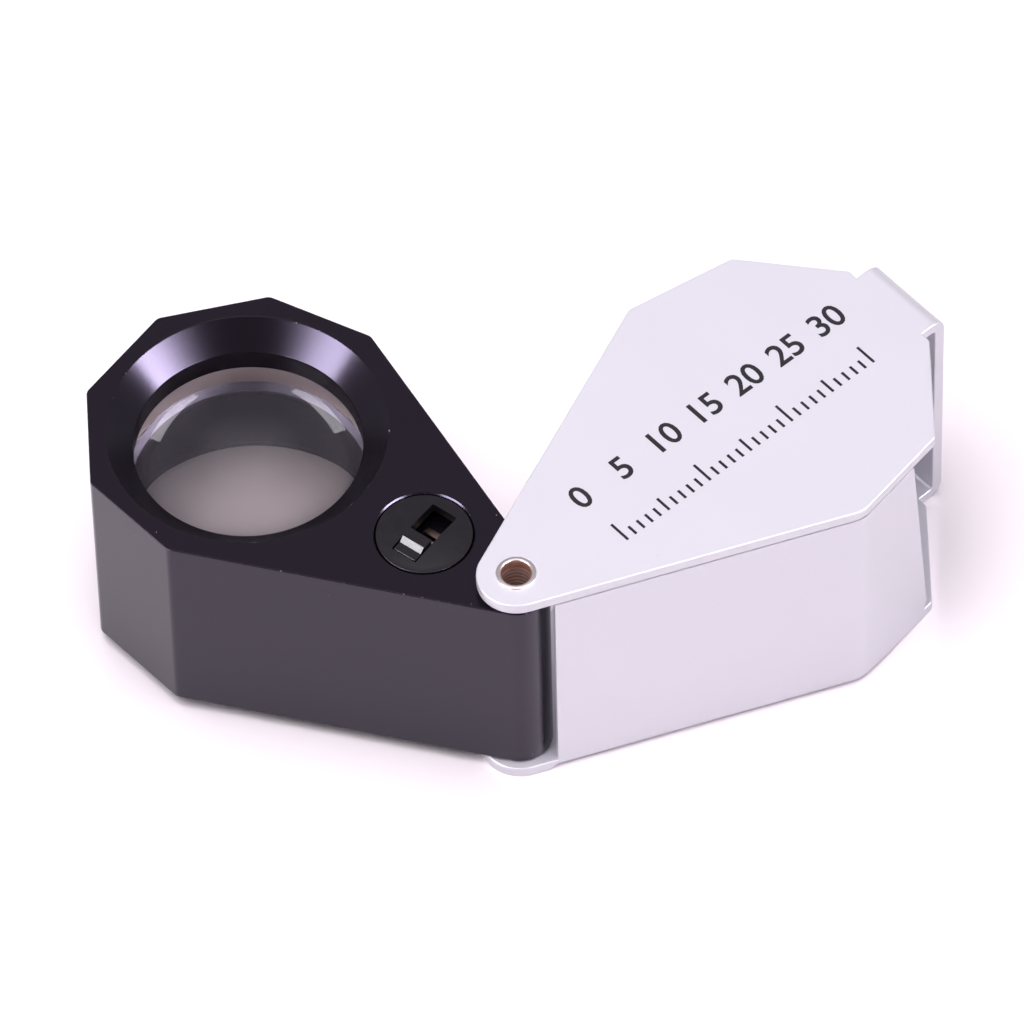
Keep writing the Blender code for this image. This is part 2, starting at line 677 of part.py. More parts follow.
def make_wires():
    """Two wires from under the switch, across and down to the lamp board."""
    end = BOARD_BASE + BOARD_THICKNESS + FIT_GAP
    for name, side in (("wire_red", 1), ("wire_black", -1)):
        corner = Vector((WIRE_DROP - WIRE_TURN, WIRE_LEVEL - WIRE_TURN))
        turn = arc(corner, WIRE_TURN, math.pi / 2, 0, 5)
        route = [Vector((WIRE_START, WIRE_LEVEL)), *turn, Vector((WIRE_DROP, end))]
        route = [(along, side * WIRE_OFFSET, height) for along, height in route]
        make_tube(name, route, WIRE_RADIUS, name)


make_cover()
make_pivot()
make_housing()
make_lens()
make_lamps()
make_cells()
make_switch()
make_wires()
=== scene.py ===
"""Folding pocket loupe with a lit triplet lens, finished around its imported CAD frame.

Each operator makes one piece, or a group of like pieces, in one half's own axes: X runs from
the pivot to the half's lens centre, Y is to its left and Z is up. Lengths are in metres.
"""

import json
import math

import bmesh
import bpy
from bpy.props import FloatProperty, FloatVectorProperty, IntProperty, PointerProperty
from mathutils import Matrix, Vector


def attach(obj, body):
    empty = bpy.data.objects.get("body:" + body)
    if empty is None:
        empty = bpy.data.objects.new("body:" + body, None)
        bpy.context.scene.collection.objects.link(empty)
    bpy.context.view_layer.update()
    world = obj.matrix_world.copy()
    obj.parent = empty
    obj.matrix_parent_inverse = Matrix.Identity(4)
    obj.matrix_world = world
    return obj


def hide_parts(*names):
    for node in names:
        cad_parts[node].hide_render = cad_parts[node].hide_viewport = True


bl_info = {
    "name": "Folding loupe",
    "version": (1, 0, 0),
    "blender": (4, 5, 0),
    "location": "View3D > Sidebar > Loupe",
    "description": "Builds the pieces of a folding pocket loupe around its CAD frame",
    "category": "Object",
}

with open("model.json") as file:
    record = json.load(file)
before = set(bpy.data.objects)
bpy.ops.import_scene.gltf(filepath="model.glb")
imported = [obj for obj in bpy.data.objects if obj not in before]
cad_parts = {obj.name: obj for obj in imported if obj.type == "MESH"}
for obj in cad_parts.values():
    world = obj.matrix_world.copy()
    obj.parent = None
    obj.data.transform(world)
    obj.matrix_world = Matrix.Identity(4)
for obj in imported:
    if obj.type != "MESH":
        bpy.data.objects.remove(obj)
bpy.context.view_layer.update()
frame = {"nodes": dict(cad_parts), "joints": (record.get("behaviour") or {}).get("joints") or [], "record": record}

MM = 0.001
WELD = 1e-7
RIGHT_ANGLE = math.pi / 2
FULL_TURN = 2 * math.pi

RECORD = frame["record"]
JOINTS = {joint["name"]: joint for joint in frame["joints"]}
MOUNTS = {mount["name"]: mount for mount in RECORD["mounts"]}
PIVOT = Vector((*JOINTS["fold"]["pos_m"][:2], 0))
COVER_REACH = Vector(MOUNTS["cover_underside"]["pos_m"]).xy - PIVOT.xy
COVER_TURN = math.atan2(COVER_REACH.y, COVER_REACH.x)
HOUSING_TURN = COVER_TURN - math.radians(JOINTS["fold"]["range_deg"][0])


class Half:
    """One half of the loupe, with its X axis from the pivot to its lens centre."""

    def __init__(self, turn):
        self.matrix = Matrix.Translation(PIVOT) @ Matrix.Rotation(turn, 4, "Z")

    def spot(self, along):
        """A place on this half's X axis, seen from above."""
        return (self.matrix @ Vector((along, 0, 0))).xy

    def box(self, node):
        """Lowest and highest corner of a CAD node along this half's axes."""
        inverse = self.matrix.inverted()
        corners = [inverse @ vertex.co for vertex in frame["nodes"][node].data.vertices]
        low, high = [[pick(c[axis] for c in corners) for axis in range(3)] for pick in (min, max)]
        return Vector(low), Vector(high)

    def round_box(self, node):
        """Base, top and radius of a round CAD node."""
        low, high = self.box(node)
        return low.z, high.z, (high.y - low.y) / 2


COVER = Half(COVER_TURN)
HOUSING = Half(HOUSING_TURN)

COVER_LOW, COVER_HIGH = COVER.box("cover")
BODY_LOW, BODY_HIGH = HOUSING.box("lens_housing")
LENS_LOW, LENS_HIGH = HOUSING.box("lens_front")
LENS_AXIS = (LENS_LOW.x + LENS_HIGH.x) / 2
PLATE_LOW, PLATE_HIGH = HOUSING.box("switch_plate")
CAP_LOW, CAP_HIGH = HOUSING.box("battery_cap")
RIVET_LOW, RIVET_HIGH = COVER.box("pivot_rivet")
INRADIUS = BODY_HIGH.x - LENS_AXIS
SWITCH_AXIS = (PLATE_LOW.x + PLATE_HIGH.x) / 2
CELL_AXIS = (CAP_LOW.x + CAP_HIGH.x) / 2

# The plan outline: seven sides of a nonagon about the lens, and two long tapers to the pivot
FACE_TURN = FULL_TURN / 9
TAPER_NORMAL = math.radians(113)


def length(label, description, millimetres):
    return FloatProperty(
        name=label, description=description, default=millimetres * MM, min=0, precision=5,
        unit="LENGTH", subtype="DISTANCE",
    )


def colour(label, description, value):
    return FloatVectorProperty(
        name=label, description=description, default=value, size=3, min=0, max=1, subtype="COLOR",
    )


class CoverSizes(bpy.types.PropertyGroup):
    sheet: length("Sheet", "Thickness of the bent sheet", 1.2)
    edge: length("Edge rounding", "Rounding along the edges of the leaves", 0.14)
    corner: length("Corner rounding", "Plan rounding of the leaf corners", 0.6)
    margin: length("Margin", "How far a leaf stands out past the housing's flats", 0.42)
    strap: length("Strap width", "Width of the end strap", 8.8)
    bend: length("Strap bend", "Outer radius of the strap's bends", 1.6)
    wall: length("Wall", "Thickness of the side wall", 0.5)
    wall_gap: length("Wall clearance", "Gap between the wall and the housing", 0.12)
    wall_bend: length("Wall bend", "Outer radius of the wall's bend round the corner", 3.0)
    wall_foot: length("Wall foot", "Rounding where the wall turns up from the lower leaf", 1.0)
    wall_start: length("Wall start", "Where the wall starts along the taper", 2.45)
    ear_base: length("Ear at the base", "Length of the wall's ear at the lower leaf", 4.3)
    ear_top: length("Ear at the top", "Length of the wall's ear at the upper leaf", 2.0)


class BodySizes(bpy.types.PropertyGroup):
    corner: length("Corner rounding", "Plan rounding between the flats", 1.0)
    edge: length("Edge rounding", "Rounding along the upper and lower edges", 0.12)
    cone: length("Cone radius", "Radius of the eye-side cone at the top face", 12.95)
    bore: length("Bore radius", "Radius of the bore over the lens", 10.5)
    cone_depth: length("Cone depth", "Depth of the cone", 2.25)
    barrel: length("Barrel radius", "Radius of the lens seat", 10.95)
    chamber: length("Lamp chamber radius", "Radius of the chamber that holds the lamps", 13.2)
    chamber_top: length("Lamp chamber top", "Height of the lamp chamber's ceiling", 6.9)
    pocket: length("Switch pocket radius", "Radius of the pocket round the switch plate", 4.55)
    pocket_floor: length("Switch pocket floor", "Height of the switch pocket's floor", 17.2)
    cell_bore: length("Cell bore radius", "Radius of the battery compartment", 6.15)
    cell_top: length("Cell bore top", "Height of the battery compartment's ceiling", 14.1)


class LoupeColours(bpy.types.PropertyGroup):
    black: colour("Black anodising", "Colour of the housing", (0.0060, 0.0044, 0.0066))
    silver: colour("Satin silver", "Colour of the cover", (0.66, 0.65, 0.70))
    eyelet: colour("Eyelet", "Colour of the hollow rivet", (0.96, 0.91, 0.89))
    bore: colour("Eyelet bore", "Stained metal inside the hollow rivet", (0.50, 0.17, 0.08))
    ink: colour("Ink", "Colour of the printed scale", (0.012, 0.010, 0.015))
    plastic: colour("Plastic", "Colour of the switch and cap", (0.008, 0.006, 0.010))
    copper: colour("Contacts", "Colour of the contact strips", (0.90, 0.66, 0.54))
    floor: colour("Floor", "Colour of the table", (0.92, 0.87, 0.89))


class StageSettings(bpy.types.PropertyGroup):
    focal: FloatProperty(
        name="Focal length", description="Camera lens in millimetres", default=421.875, min=1,
        unit="CAMERA",
    )
    camera_spot: FloatVectorProperty(
        name="Camera", description="Where the camera stands", default=(-0.01357, -0.65950, 0.88838),
        size=3, subtype="TRANSLATION", unit="LENGTH",
    )
    camera_turn: FloatVectorProperty(
        name="Camera turn", description="The camera's tilt, roll and heading",
        default=(math.radians(37.049), math.radians(-1.539), math.radians(-1.098)), size=3,
        subtype="EULER", unit="ROTATION",
    )
    steps: IntProperty(
        name="Round steps", description="Sides of the larger round pieces", default=96, min=12,
    )


# Plain geometry


def direction(angle):
    return Vector((math.cos(angle), math.sin(angle)))


def arc(centre, radius, start, end, steps):
    turns = [start + (end - start) * step / steps for step in range(steps + 1)]
    return [Vector(centre) + radius * direction(turn) for turn in turns]


def meeting(side_a, side_b):
    """Where two straight sides cross. A side is its outward normal's angle and its reach."""
    (angle_a, reach_a), (angle_b, reach_b) = side_a, side_b
    spread = math.sin(angle_b - angle_a)
    x = (reach_a * math.sin(angle_b) - reach_b * math.sin(angle_a)) / spread
    y = (reach_b * math.cos(angle_a) - reach_a * math.cos(angle_b)) / spread
    return Vector((x, y))


def lens_side(turns, inradius):
    """One side of the nonagon about the lens axis, counted in face turns from the far end."""
    angle = turns * FACE_TURN
    return angle, inradius + LENS_AXIS * math.cos(angle)


def corner_arc(side_a, side_b, radius, steps=6):
    """An arc tangent to two sides, from the first to the second, which turns left."""
    inner_a = (side_a[0], side_a[1] - radius)
    inner_b = (side_b[0], side_b[1] - radius)
    return arc(meeting(inner_a, inner_b), radius, side_a[0], side_b[0], steps)


def teardrop(nose, inradii, radii, tab=(), steps=6, nose_steps=32):
    """The outline seen from above, anticlockwise: taper, five flats, taper, nose arc.

    The points of a tab are put in halfway, on the far flat.
    """
    sides = [(-TAPER_NORMAL, nose)]
    sides += [lens_side(turns, reach) for turns, reach in zip((-2, -1, 0, 1, 2), inradii)]
    sides.append((TAPER_NORMAL, nose))
    corners = [
        corner_arc(side_a, side_b, radius, steps)
        for side_a, side_b, radius in zip(sides, sides[1:], radii)
    ]
    half = len(corners) // 2
    points = sum(corners[:half], []) + [Vector(point) for point in tab] + sum(corners[half:], [])
    return points + arc((0, 0), nose, TAPER_NORMAL, FULL_TURN - TAPER_NORMAL, nose_steps)


def filleted(corners, steps=4):
    """A line of corners (x, y) or (x, y, radius), with an arc at each that has a radius."""
    points = []
    for index, corner in enumerate(corners):
        spot = Vector(corner[:2])
        if len(corner) < 3 or index in (0, len(corners) - 1):
            points.append(spot)
            continue
        before = (Vector(corners[index - 1][:2]) - spot).normalized()
        after = (Vector(corners[index + 1][:2]) - spot).normalized()
        half_angle = before.angle(after) / 2
        centre = spot + (before + after).normalized() * corner[2] / math.sin(half_angle)
        reach = corner[2] / math.tan(half_angle)
        first = spot + before * reach - centre
        last = spot + after * reach - centre
        start = math.atan2(first.y, first.x)
        sweep = math.atan2(first.cross(last), first.dot(last))
        points += arc(centre, corner[2], start, start + sweep, steps)
    return points


# Mesh tools


def solid(bm):
    """Welds a closed bmesh and turns its faces outwards."""
    bmesh.ops.remove_doubles(bm, verts=bm.verts, dist=WELD)
    bmesh.ops.dissolve_degenerate(bm, edges=bm.edges, dist=WELD)
    bmesh.ops.recalc_face_normals(bm, faces=bm.faces)
    return bm


def spun(profile, steps, centre=(0, 0), ring=False):
    """A solid turned about an upright axis from a profile of (radius, height)."""
    bm = bmesh.new()
    verts = [bm.verts.new((radius, 0, height)) for radius, height in profile]
    edges = [bm.edges.new(pair) for pair in zip(verts, verts[1:])]
    if ring:
        edges.append(bm.edges.new((verts[-1], verts[0])))
    bmesh.ops.spin(
        bm, geom=verts + edges, cent=(0, 0, 0), axis=(0, 0, 1), angle=FULL_TURN, steps=steps,
        use_merge=True,
    )
    bmesh.ops.translate(bm, vec=(*centre, 0), verts=bm.verts)
    return solid(bm)


def raised(bm, face, height):
    """Extrudes one face straight up."""
    grown = bmesh.ops.extrude_face_region(bm, geom=[face])
    lifted = [item for item in grown["geom"] if isinstance(item, bmesh.types.BMVert)]
    bmesh.ops.translate(bm, vec=(0, 0, height), verts=lifted)


def prism(outline, base, top):
    bm = bmesh.new()
    face = bm.faces.new([bm.verts.new((*point, base)) for point in outline])
    raised(bm, face, top - base)
    return solid(bm)


def softened(bm, edges, width, segments=3):
    """Rounds these edges."""
    bmesh.ops.bevel(
        bm, geom=list(edges), offset=width, offset_type="OFFSET", affect="EDGES", segments=segments,
        profile=0.5, material=-1, clamp_overlap=False,
    )
    return bm


def level_edges(bm, height):
    """The edges that lie flat at one height."""
    near = 0.02 * MM
    return [edge for edge in bm.edges if all(abs(v.co.z - height) < near for v in edge.verts)]


def soft_prism(outline, base, top, width, segments=3):
    """An upright prism with rounded upper and lower rims."""
    bm = prism(outline, base, top)
    return softened(bm, level_edges(bm, base) + level_edges(bm, top), width, segments)


def block(size, centre, width=0.0, segments=2):
    """A box with its edges rounded."""
    bm = bmesh.new()
    bmesh.ops.create_cube(bm, size=1)
    bmesh.ops.scale(bm, vec=size, verts=bm.verts)
    if width:
        softened(bm, bm.edges, width, segments)
    bmesh.ops.translate(bm, vec=centre, verts=bm.verts)
    return bm


def turned_to(bm, matrix):
    bmesh.ops.transform(bm, matrix=matrix, verts=bm.verts)
    return bm


def side_prism(outline, half_width):
    """A prism from an outline in side view (along, height), as wide as twice the half width."""
    bm = prism(outline, -half_width, half_width)
    return turned_to(bm, Matrix.Rotation(RIGHT_ANGLE, 4, "X"))


def linked(name, data):
    """An object of that name and data, in the scene."""
    item = bpy.data.objects.new(name, data)
    bpy.context.scene.collection.objects.link(item)
    return item


def shown(name, bm):
    """An object made of a bmesh, which is freed."""
    mesh = bpy.data.meshes.new(name)
    bm.to_mesh(mesh)
    bm.free()
    return linked(name, mesh)


def discard(item):
    data = item.data
    bpy.data.objects.remove(item, do_unlink=True)
    if isinstance(data, bpy.types.Mesh):
        bpy.data.meshes.remove(data)
    else:
        bpy.data.curves.remove(data)


def settled(item):
    """The bmesh of an object with its modifiers applied. The object is removed."""
    graph = bpy.context.evaluated_depsgraph_get()
    mesh = bpy.data.meshes.new_from_object(item.evaluated_get(graph))
    bm = bmesh.new()
    bm.from_mesh(mesh)
    bpy.data.meshes.remove(mesh)
    discard(item)
    return bm


def combined(bm, others, operation):
    """Joins other closed bmeshes to this one, or cuts them out of it, one after another."""
    item = shown("temporary", bm)
    tools = [shown("temporary", other) for other in others]
    for tool in tools:
        change = item.modifiers.new("combine", "BOOLEAN")
        change.operation = operation
        change.solver = "EXACT"
        change.object = tool
    result = settled(item)
    for tool in tools:
        discard(tool)
    bmesh.ops.remove_doubles(result, verts=result.verts, dist=WELD)
    return result


def carved(bm, cutters):
    return combined(bm, cutters, "DIFFERENCE")


def welded(bm, others):
    return combined(bm, others, "UNION")


def painted(bm, index):
    """Gives every face one of the piece's material slots."""
    for face in bm.faces:
        face.material_index = index
    return bm


def gathered(parts):
    """One bmesh that holds several separate closed ones."""
    whole = bmesh.new()
    for part in parts:
        mesh = bpy.data.meshes.new("part")
        part.to_mesh(mesh)
        part.free()
        whole.from_mesh(mesh)
        bpy.data.meshes.remove(mesh)
    return whole


def mended(bm):
    """Closes the slivers that cutting and bevelling can leave open."""
    gaps = [edge for edge in bm.edges if edge.is_boundary]
    if gaps:
        bmesh.ops.holes_fill(bm, edges=gaps, sides=0)
        bmesh.ops.dissolve_degenerate(bm, edges=bm.edges, dist=WELD)
        bmesh.ops.recalc_face_normals(bm, faces=bm.faces)


def piece(name, bm, body, finishes, stands_for=(), crease=32):
    """Puts a finished bmesh in its place, in its material, on the body that carries it."""
    mended(bm)
    turned_to(bm, COVER.matrix if body == "cover" else HOUSING.matrix)
    item = shown(name, bm)
    mesh = item.data
    mesh.polygons.foreach_set("use_smooth", [True] * len(mesh.polygons))
    mesh.set_sharp_from_angle(angle=math.radians(crease))
    shading = item.modifiers.new("shading", "WEIGHTED_NORMAL")
    shading.keep_sharp = True
    for finish in finishes:
        mesh.materials.append(finish_named(finish))
    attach(item, body)
    if stands_for:
        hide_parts(*stands_for)


def wire_mesh(route, radius):
    """A round wire along a route of points, as a bmesh."""
    curve = bpy.data.curves.new("wire", "CURVE")
    curve.dimensions = "3D"
    curve.bevel_depth = radius
    curve.bevel_resolution = 3
    curve.use_fill_caps = True
    spline = curve.splines.new("POLY")
    spline.points.add(len(route) - 1)
    for point, spot in zip(spline.points, route):
        point.co = (*spot, 1)
    return solid(settled(linked("wire", curve)))


# Materials


def arithmetic(operation, swapped=False):
    """A method that makes one Math node of a signal and another value."""

    def method(self, other):
        return self.maths(operation, *((other, self) if swapped else (self, other)))

    return method


class Signal:
    """A shader socket that takes part in plain arithmetic."""

    def __init__(self, shader, socket):
        self.shader = shader
        self.socket = socket

    def maths(self, operation, *values):
        """A Math node of these values, or of this signal alone."""
        return self.shader.node("ShaderNodeMath", {"operation": operation}, values or [self])

    __add__ = arithmetic("ADD")
    __radd__ = arithmetic("ADD", swapped=True)
    __sub__ = arithmetic("SUBTRACT")
    __rsub__ = arithmetic("SUBTRACT", swapped=True)
    __mul__ = arithmetic("MULTIPLY")
    __rmul__ = arithmetic("MULTIPLY", swapped=True)
    __truediv__ = arithmetic("DIVIDE")
    __gt__ = arithmetic("GREATER_THAN")
    __lt__ = arithmetic("LESS_THAN")


class Nodes:
    """A node tree while it is put together."""

    def __init__(self, tree):
        self.tree = tree

    def node(self, kind, settings, values, output=0):
        """Adds a node: its settings first, then a value or a link for each socket."""
        made = self.tree.nodes.new(kind)
        for key, value in settings.items():
            setattr(made, key, value)
        named = values.items() if isinstance(values, dict) else enumerate(values)
        for key, value in named:
            if isinstance(value, Signal):
                self.tree.links.new(value.socket, made.inputs[key])
            else:
                made.inputs[key].default_value = value
        return Signal(self, made.outputs[output])

    def point(self):
        """The place on the piece, in metres."""
        return self.node("ShaderNodeTexCoord", {}, {}, "Object")

    def axis(self, place, name):
        return self.node("ShaderNodeSeparateXYZ", {}, [place], name)

    def stretched(self, place, centre, turn, scale):
        """A place moved to a centre, turned about Z and scaled along each axis."""
        moved = self.node("ShaderNodeVectorMath", {"operation": "SUBTRACT"}, [place, centre])
        values = {"Vector": moved, "Rotation": (0, 0, -turn), "Scale": scale}
        return self.node("ShaderNodeMapping", {"vector_type": "POINT"}, values)

    def reach(self, place, centre):
        """Distance from an upright axis."""
        flat = self.stretched(place, (*centre, 0), 0, (1, 1, 0))
        return self.node("ShaderNodeVectorMath", {"operation": "LENGTH"}, [flat], "Value")

    def noise(self, place, size, detail=2.0, roughness=0.5):
        """Cloudy noise from 0 to 1 with lumps of about the given size."""
        values = {"Vector": place, "Scale": 1 / size, "Detail": detail, "Roughness": roughness}
        return self.node("ShaderNodeTexNoise", {}, values, "Fac")

    def specks(self, place, spacing, radius, share):
        """Small separate dots: 1 on a dot. Only the given share of the places has one."""
        values = {"Vector": place, "Scale": 1 / spacing, "Randomness": 1.0}
        settings = {"voronoi_dimensions": "3D", "feature": "F1"}
        near = self.node("ShaderNodeTexVoronoi", settings, values, "Distance")
        tint = self.node("ShaderNodeTexVoronoi", settings, values, "Color")
        chance = self.node("ShaderNodeSeparateColor", {}, [tint], "Red")
        return (near < (chance * radius / spacing)) * (chance > (1 - share))

    def ramp(self, factor, low, high):
        """The factor stretched from low..high to 0..1, and held there."""
        values = {"Value": factor, "From Min": low, "From Max": high}
        return self.node("ShaderNodeMapRange", {"clamp": True}, values)

    def mixed(self, factor, first, second):
        """A colour between two."""
        colours = [c if isinstance(c, Signal) else (*c, 1) for c in (first, second)]
        values = {0: factor, 6: colours[0], 7: colours[1]}
        return self.node("ShaderNodeMix", {"data_type": "RGBA"}, values, 2)

    def bump(self, height, strength, distance):
        """Small relief, as deep as the distance."""
        values = {"Strength": strength, "Distance": distance, "Height": height}
        return self.node("ShaderNodeBump", {}, values)


class Shader(Nodes):
    """One material while its nodes are put together."""

    def __init__(self, name, colour, roughness, metallic=0.0, **constants):
        self.material = bpy.data.materials.new(name)
        self.material.use_nodes = True
        super().__init__(self.material.node_tree)
        self.surface = self.tree.nodes["Principled BSDF"]
        self.output = self.tree.nodes["Material Output"]
        self.surface.inputs["Base Color"].default_value = (*colour, 1)
        self.surface.inputs["Roughness"].default_value = roughness
        self.surface.inputs["Metallic"].default_value = metallic
        for socket, value in constants.items():
            self.surface.inputs[socket.replace("_", " ")].default_value = value

    def feed(self, **inputs):
        """Links what varies over the surface to the shader's own sockets."""
        for socket, value in inputs.items():
            self.tree.links.new(value.socket, self.surface.inputs[socket.replace("_", " ")])
        return self.material


def black_anodised(colours):
    """Fine blasted black anodising with a few specks of dust and nicks along its edges."""
    tint = (0.66, 0.59, 0.86, 1)
    shader = Shader("black_anodised", colours.black, 0.36, 0.0, IOR=1.5, Specular_Tint=tint)
    place = shader.point()
    grain = shader.noise(place, 0.10 * MM, 2)
    cloud = shader.noise(place, 6 * MM, 3)
    dust = shader.specks(place, 2.2 * MM, 0.07 * MM, 0.45)
    height = shader.axis(place, "Z")
    upper = shader.ramp(height, BODY_HIGH.z - 0.13 * MM, BODY_HIGH.z - 0.06 * MM)
    flat = shader.ramp(height, BODY_HIGH.z - 0.012 * MM, BODY_HIGH.z - 0.004 * MM)
    edge = upper * (1 - flat)
    wear = edge * shader.ramp(shader.noise(place, 0.8 * MM, 4, 0.75), 0.62, 0.68)
    tone = shader.mixed(cloud, colours.black, [1.3 * c for c in colours.black])
    tone = shader.mixed(dust * 0.5, tone, (0.35, 0.33, 0.36))
    tone = shader.mixed(wear * 0.7, tone, (0.30, 0.29, 0.32))
    rough = 0.17 + grain * 0.03 + cloud * 0.04 + dust * 0.3
    normal = shader.bump(grain, 0.2, 0.0035 * MM)
    return shader.feed(Base_Color=tone, Roughness=rough, Normal=normal)


def satin_silver(colours):
    """Pearl-blasted silver sheet with faint brushing, smudges and hairline marks."""
    shader = Shader("satin_silver", colours.silver, 0.42, 0.35)
    place = shader.point()
    grain = shader.noise(place, 0.12 * MM, 3, 0.6)
    cloud = shader.noise(place, 9 * MM, 3)
    along = shader.stretched(place, PIVOT, COVER_TURN, (0.06, 1.0, 1.0))
    hairs = shader.ramp(shader.noise(along, 0.16 * MM, 2), 0.62, 0.70)
    specks = shader.specks(place, 3.0 * MM, 0.07 * MM, 0.35)
    tone = shader.mixed(cloud * 0.5, colours.silver, [0.95 * c for c in colours.silver])
    tone = shader.mixed(hairs * 0.06, tone, (0.62, 0.60, 0.66))
    tone = shader.mixed(specks * 0.4, tone, (0.45, 0.40, 0.42))
    rough = 0.36 + cloud * 0.10 + grain * 0.06
    normal = shader.bump(grain, 0.35, 0.006 * MM)
    return shader.feed(Base_Color=tone, Roughness=rough, Normal=normal)


def eyelet_metal(colours):
    """Bright rolled eyelet, stained brown inside its bore."""
    shader = Shader("eyelet_metal", colours.eyelet, 0.2, 1.0)
    place = shader.point()
    inside = shader.ramp(shader.reach(place, PIVOT.xy), 1.435 * MM, 1.375 * MM)
    patches = shader.noise(place, 0.8 * MM, 4, 0.6)
    tone = shader.mixed(patches, colours.bore, [0.35 * c for c in colours.bore])
    dull = shader.mixed(patches * 0.3, colours.eyelet, (0.62, 0.52, 0.48))
    tone = shader.mixed(inside, dull, tone)
    rough = 0.24 + patches * 0.12 + inside * 0.25
    normal = shader.bump(shader.noise(place, 0.25 * MM, 3), 0.3, 0.015 * MM)
    return shader.feed(Base_Color=tone, Roughness=rough, Metallic=1 - inside * 0.85, Normal=normal)


def turned_metal(name, colour, roughness, pitch, centre):
    """Metal with the fine rings of a turning tool, a pitch in millimetres, about an axis."""
    shader = Shader(name, colour, roughness, 1.0)
    place = shader.point()
    rings = (shader.reach(place, centre) * (FULL_TURN / (pitch * MM))).maths("SINE")
    grain = shader.noise(place, 0.2 * MM, 3)
    tone = shader.mixed(grain, colour, [0.8 * c for c in colour])
    rough = roughness + grain * 0.12
    normal = shader.bump(rings * 0.5 + grain, 0.3, 0.01 * MM)
    return shader.feed(Base_Color=tone, Roughness=rough, Normal=normal)


def optical_glass(colours):
    """Clear glass that lets the lamps' and the room's light through to what lies below."""
    shader = Shader("optical_glass", (0.985, 0.982, 0.988), 0.0, IOR=1.36, Transmission_Weight=1.0)
    gathered_light = (1.08, 1.02, 1.0, 1)
    clear = shader.node("ShaderNodeBsdfTransparent", {}, [gathered_light])
    shadow = shader.node("ShaderNodeLightPath", {}, {}, "Is Shadow Ray")
    glass = Signal(shader, shader.surface.outputs[0])
    both = shader.node("ShaderNodeMixShader", {}, [shadow, glass, clear])
    shader.tree.links.new(both.socket, shader.output.inputs["Surface"])
    return shader.material


def moulded(name, colour, roughness, lump, depth, contrast=0.6, **constants):
    """Moulded plastic or resin, slightly uneven. Its skin's lumps and depth are in millimetres."""
    shader = Shader(name, colour, roughness, 0.0, **constants)
    place = shader.point()
    skin = shader.noise(place, lump * MM, 3, 0.6)
    cloud = shader.noise(place, 12 * lump * MM, 2)
    tone = shader.mixed(cloud, [contrast * c for c in colour], colour)
    rough = roughness + (cloud - 0.5) * 0.12
    normal = shader.bump(skin, 0.4, depth * MM)
    return shader.feed(Base_Color=tone, Roughness=rough, Normal=normal)


def contact_copper(colours):
    """Rolled copper alloy strip with darker tarnish."""
    shader = Shader("contact_copper", colours.copper, 0.28, 1.0)
    place = shader.point()
    tarnish = shader.noise(place, 0.5 * MM, 4, 0.65)
    grain = shader.noise(place, 0.06 * MM, 2)
    tone = shader.mixed(tarnish, colours.copper, [0.45 * c for c in colours.copper])
    rough = 0.22 + tarnish * 0.25
    normal = shader.bump(grain, 0.3, 0.004 * MM)
    return shader.feed(Base_Color=tone, Roughness=rough, Normal=normal)


def table_top(colours):
    """Smooth pale table."""
    shader = Shader("table_top", colours.floor, 0.06)
    place = shader.point()
    cloud = shader.noise(place, 60 * MM, 2)
    tone = shader.mixed(cloud, colours.floor, [0.985 * c for c in colours.floor])
    return shader.feed(Base_Color=tone)


# Colour, roughness, the skin's lumps and their depth in millimetres, and the darkest tone
MOULDED = {
    "ground_edge": ((0.24, 0.19, 0.20), 0.7, 0.1, 0.006, 0.8),
    "circuit_board": ((0.80, 0.82, 0.80), 0.38, 0.2, 0.006, 0.92),
    "lamp_resin": ((0.92, 0.72, 0.16), 0.32, 0.08, 0.005, 0.85),
    "lamp_case": ((0.86, 0.86, 0.84), 0.4, 0.1, 0.003, 0.94),
    "resistor_ceramic": ((0.02, 0.02, 0.024), 0.35, 0.1, 0.004),
    "insulating_film": ((0.08, 0.10, 0.14), 0.42, 0.3, 0.004),
    "wire_red": ((0.42, 0.02, 0.02), 0.38, 0.1, 0.004),
    "wire_black": ((0.015, 0.015, 0.017), 0.38, 0.1, 0.004),
}
# Colour, roughness, pitch of the rings in millimetres, and their centre
TURNED = {
    "washer_steel": ((0.45, 0.45, 0.47), 0.28, 0.12, PIVOT.xy),
    "dark_metal": ((0.10, 0.095, 0.125), 0.5, 0.2, HOUSING.spot(LENS_AXIS)),
    "cell_steel": ((0.72, 0.71, 0.70), 0.2, 0.15, HOUSING.spot(CELL_AXIS)),
    "spring_steel": ((0.62, 0.61, 0.60), 0.25, 0.1, (0, 0)),
}
SPECIAL = {
    "black_anodised": black_anodised,
    "satin_silver": satin_silver,
    "eyelet_metal": eyelet_metal,
    "optical_glass": optical_glass,
    "contact_copper": contact_copper,
    "table_top": table_top,
}
FINISHES = {}


def finish_named(name):
    """The material of that name, made the first time it is asked for."""
    colours = bpy.context.scene.loupe_colours
    if name in FINISHES:
        return FINISHES[name]
    if name in MOULDED:
        made = moulded(name, *MOULDED[name])
    elif name in TURNED:
        made = turned_metal(name, *TURNED[name])
    elif name == "black_plastic":
        made = moulded(name, colours.plastic, 0.30, 0.09, 0.006)
    elif name == "printed_ink":
        made = moulded(name, colours.ink, 0.45, 0.05, 0.003)
    elif name == "frosted_plastic":
        glow = {"Transmission_Weight": 0.55, "IOR": 1.49}
        made = moulded(name, (0.82, 0.84, 0.87), 0.55, 0.12, 0.01, 0.96, **glow)
    else:
        made = SPECIAL[name](colours)
    FINISHES[name] = made
    return made


# The cover


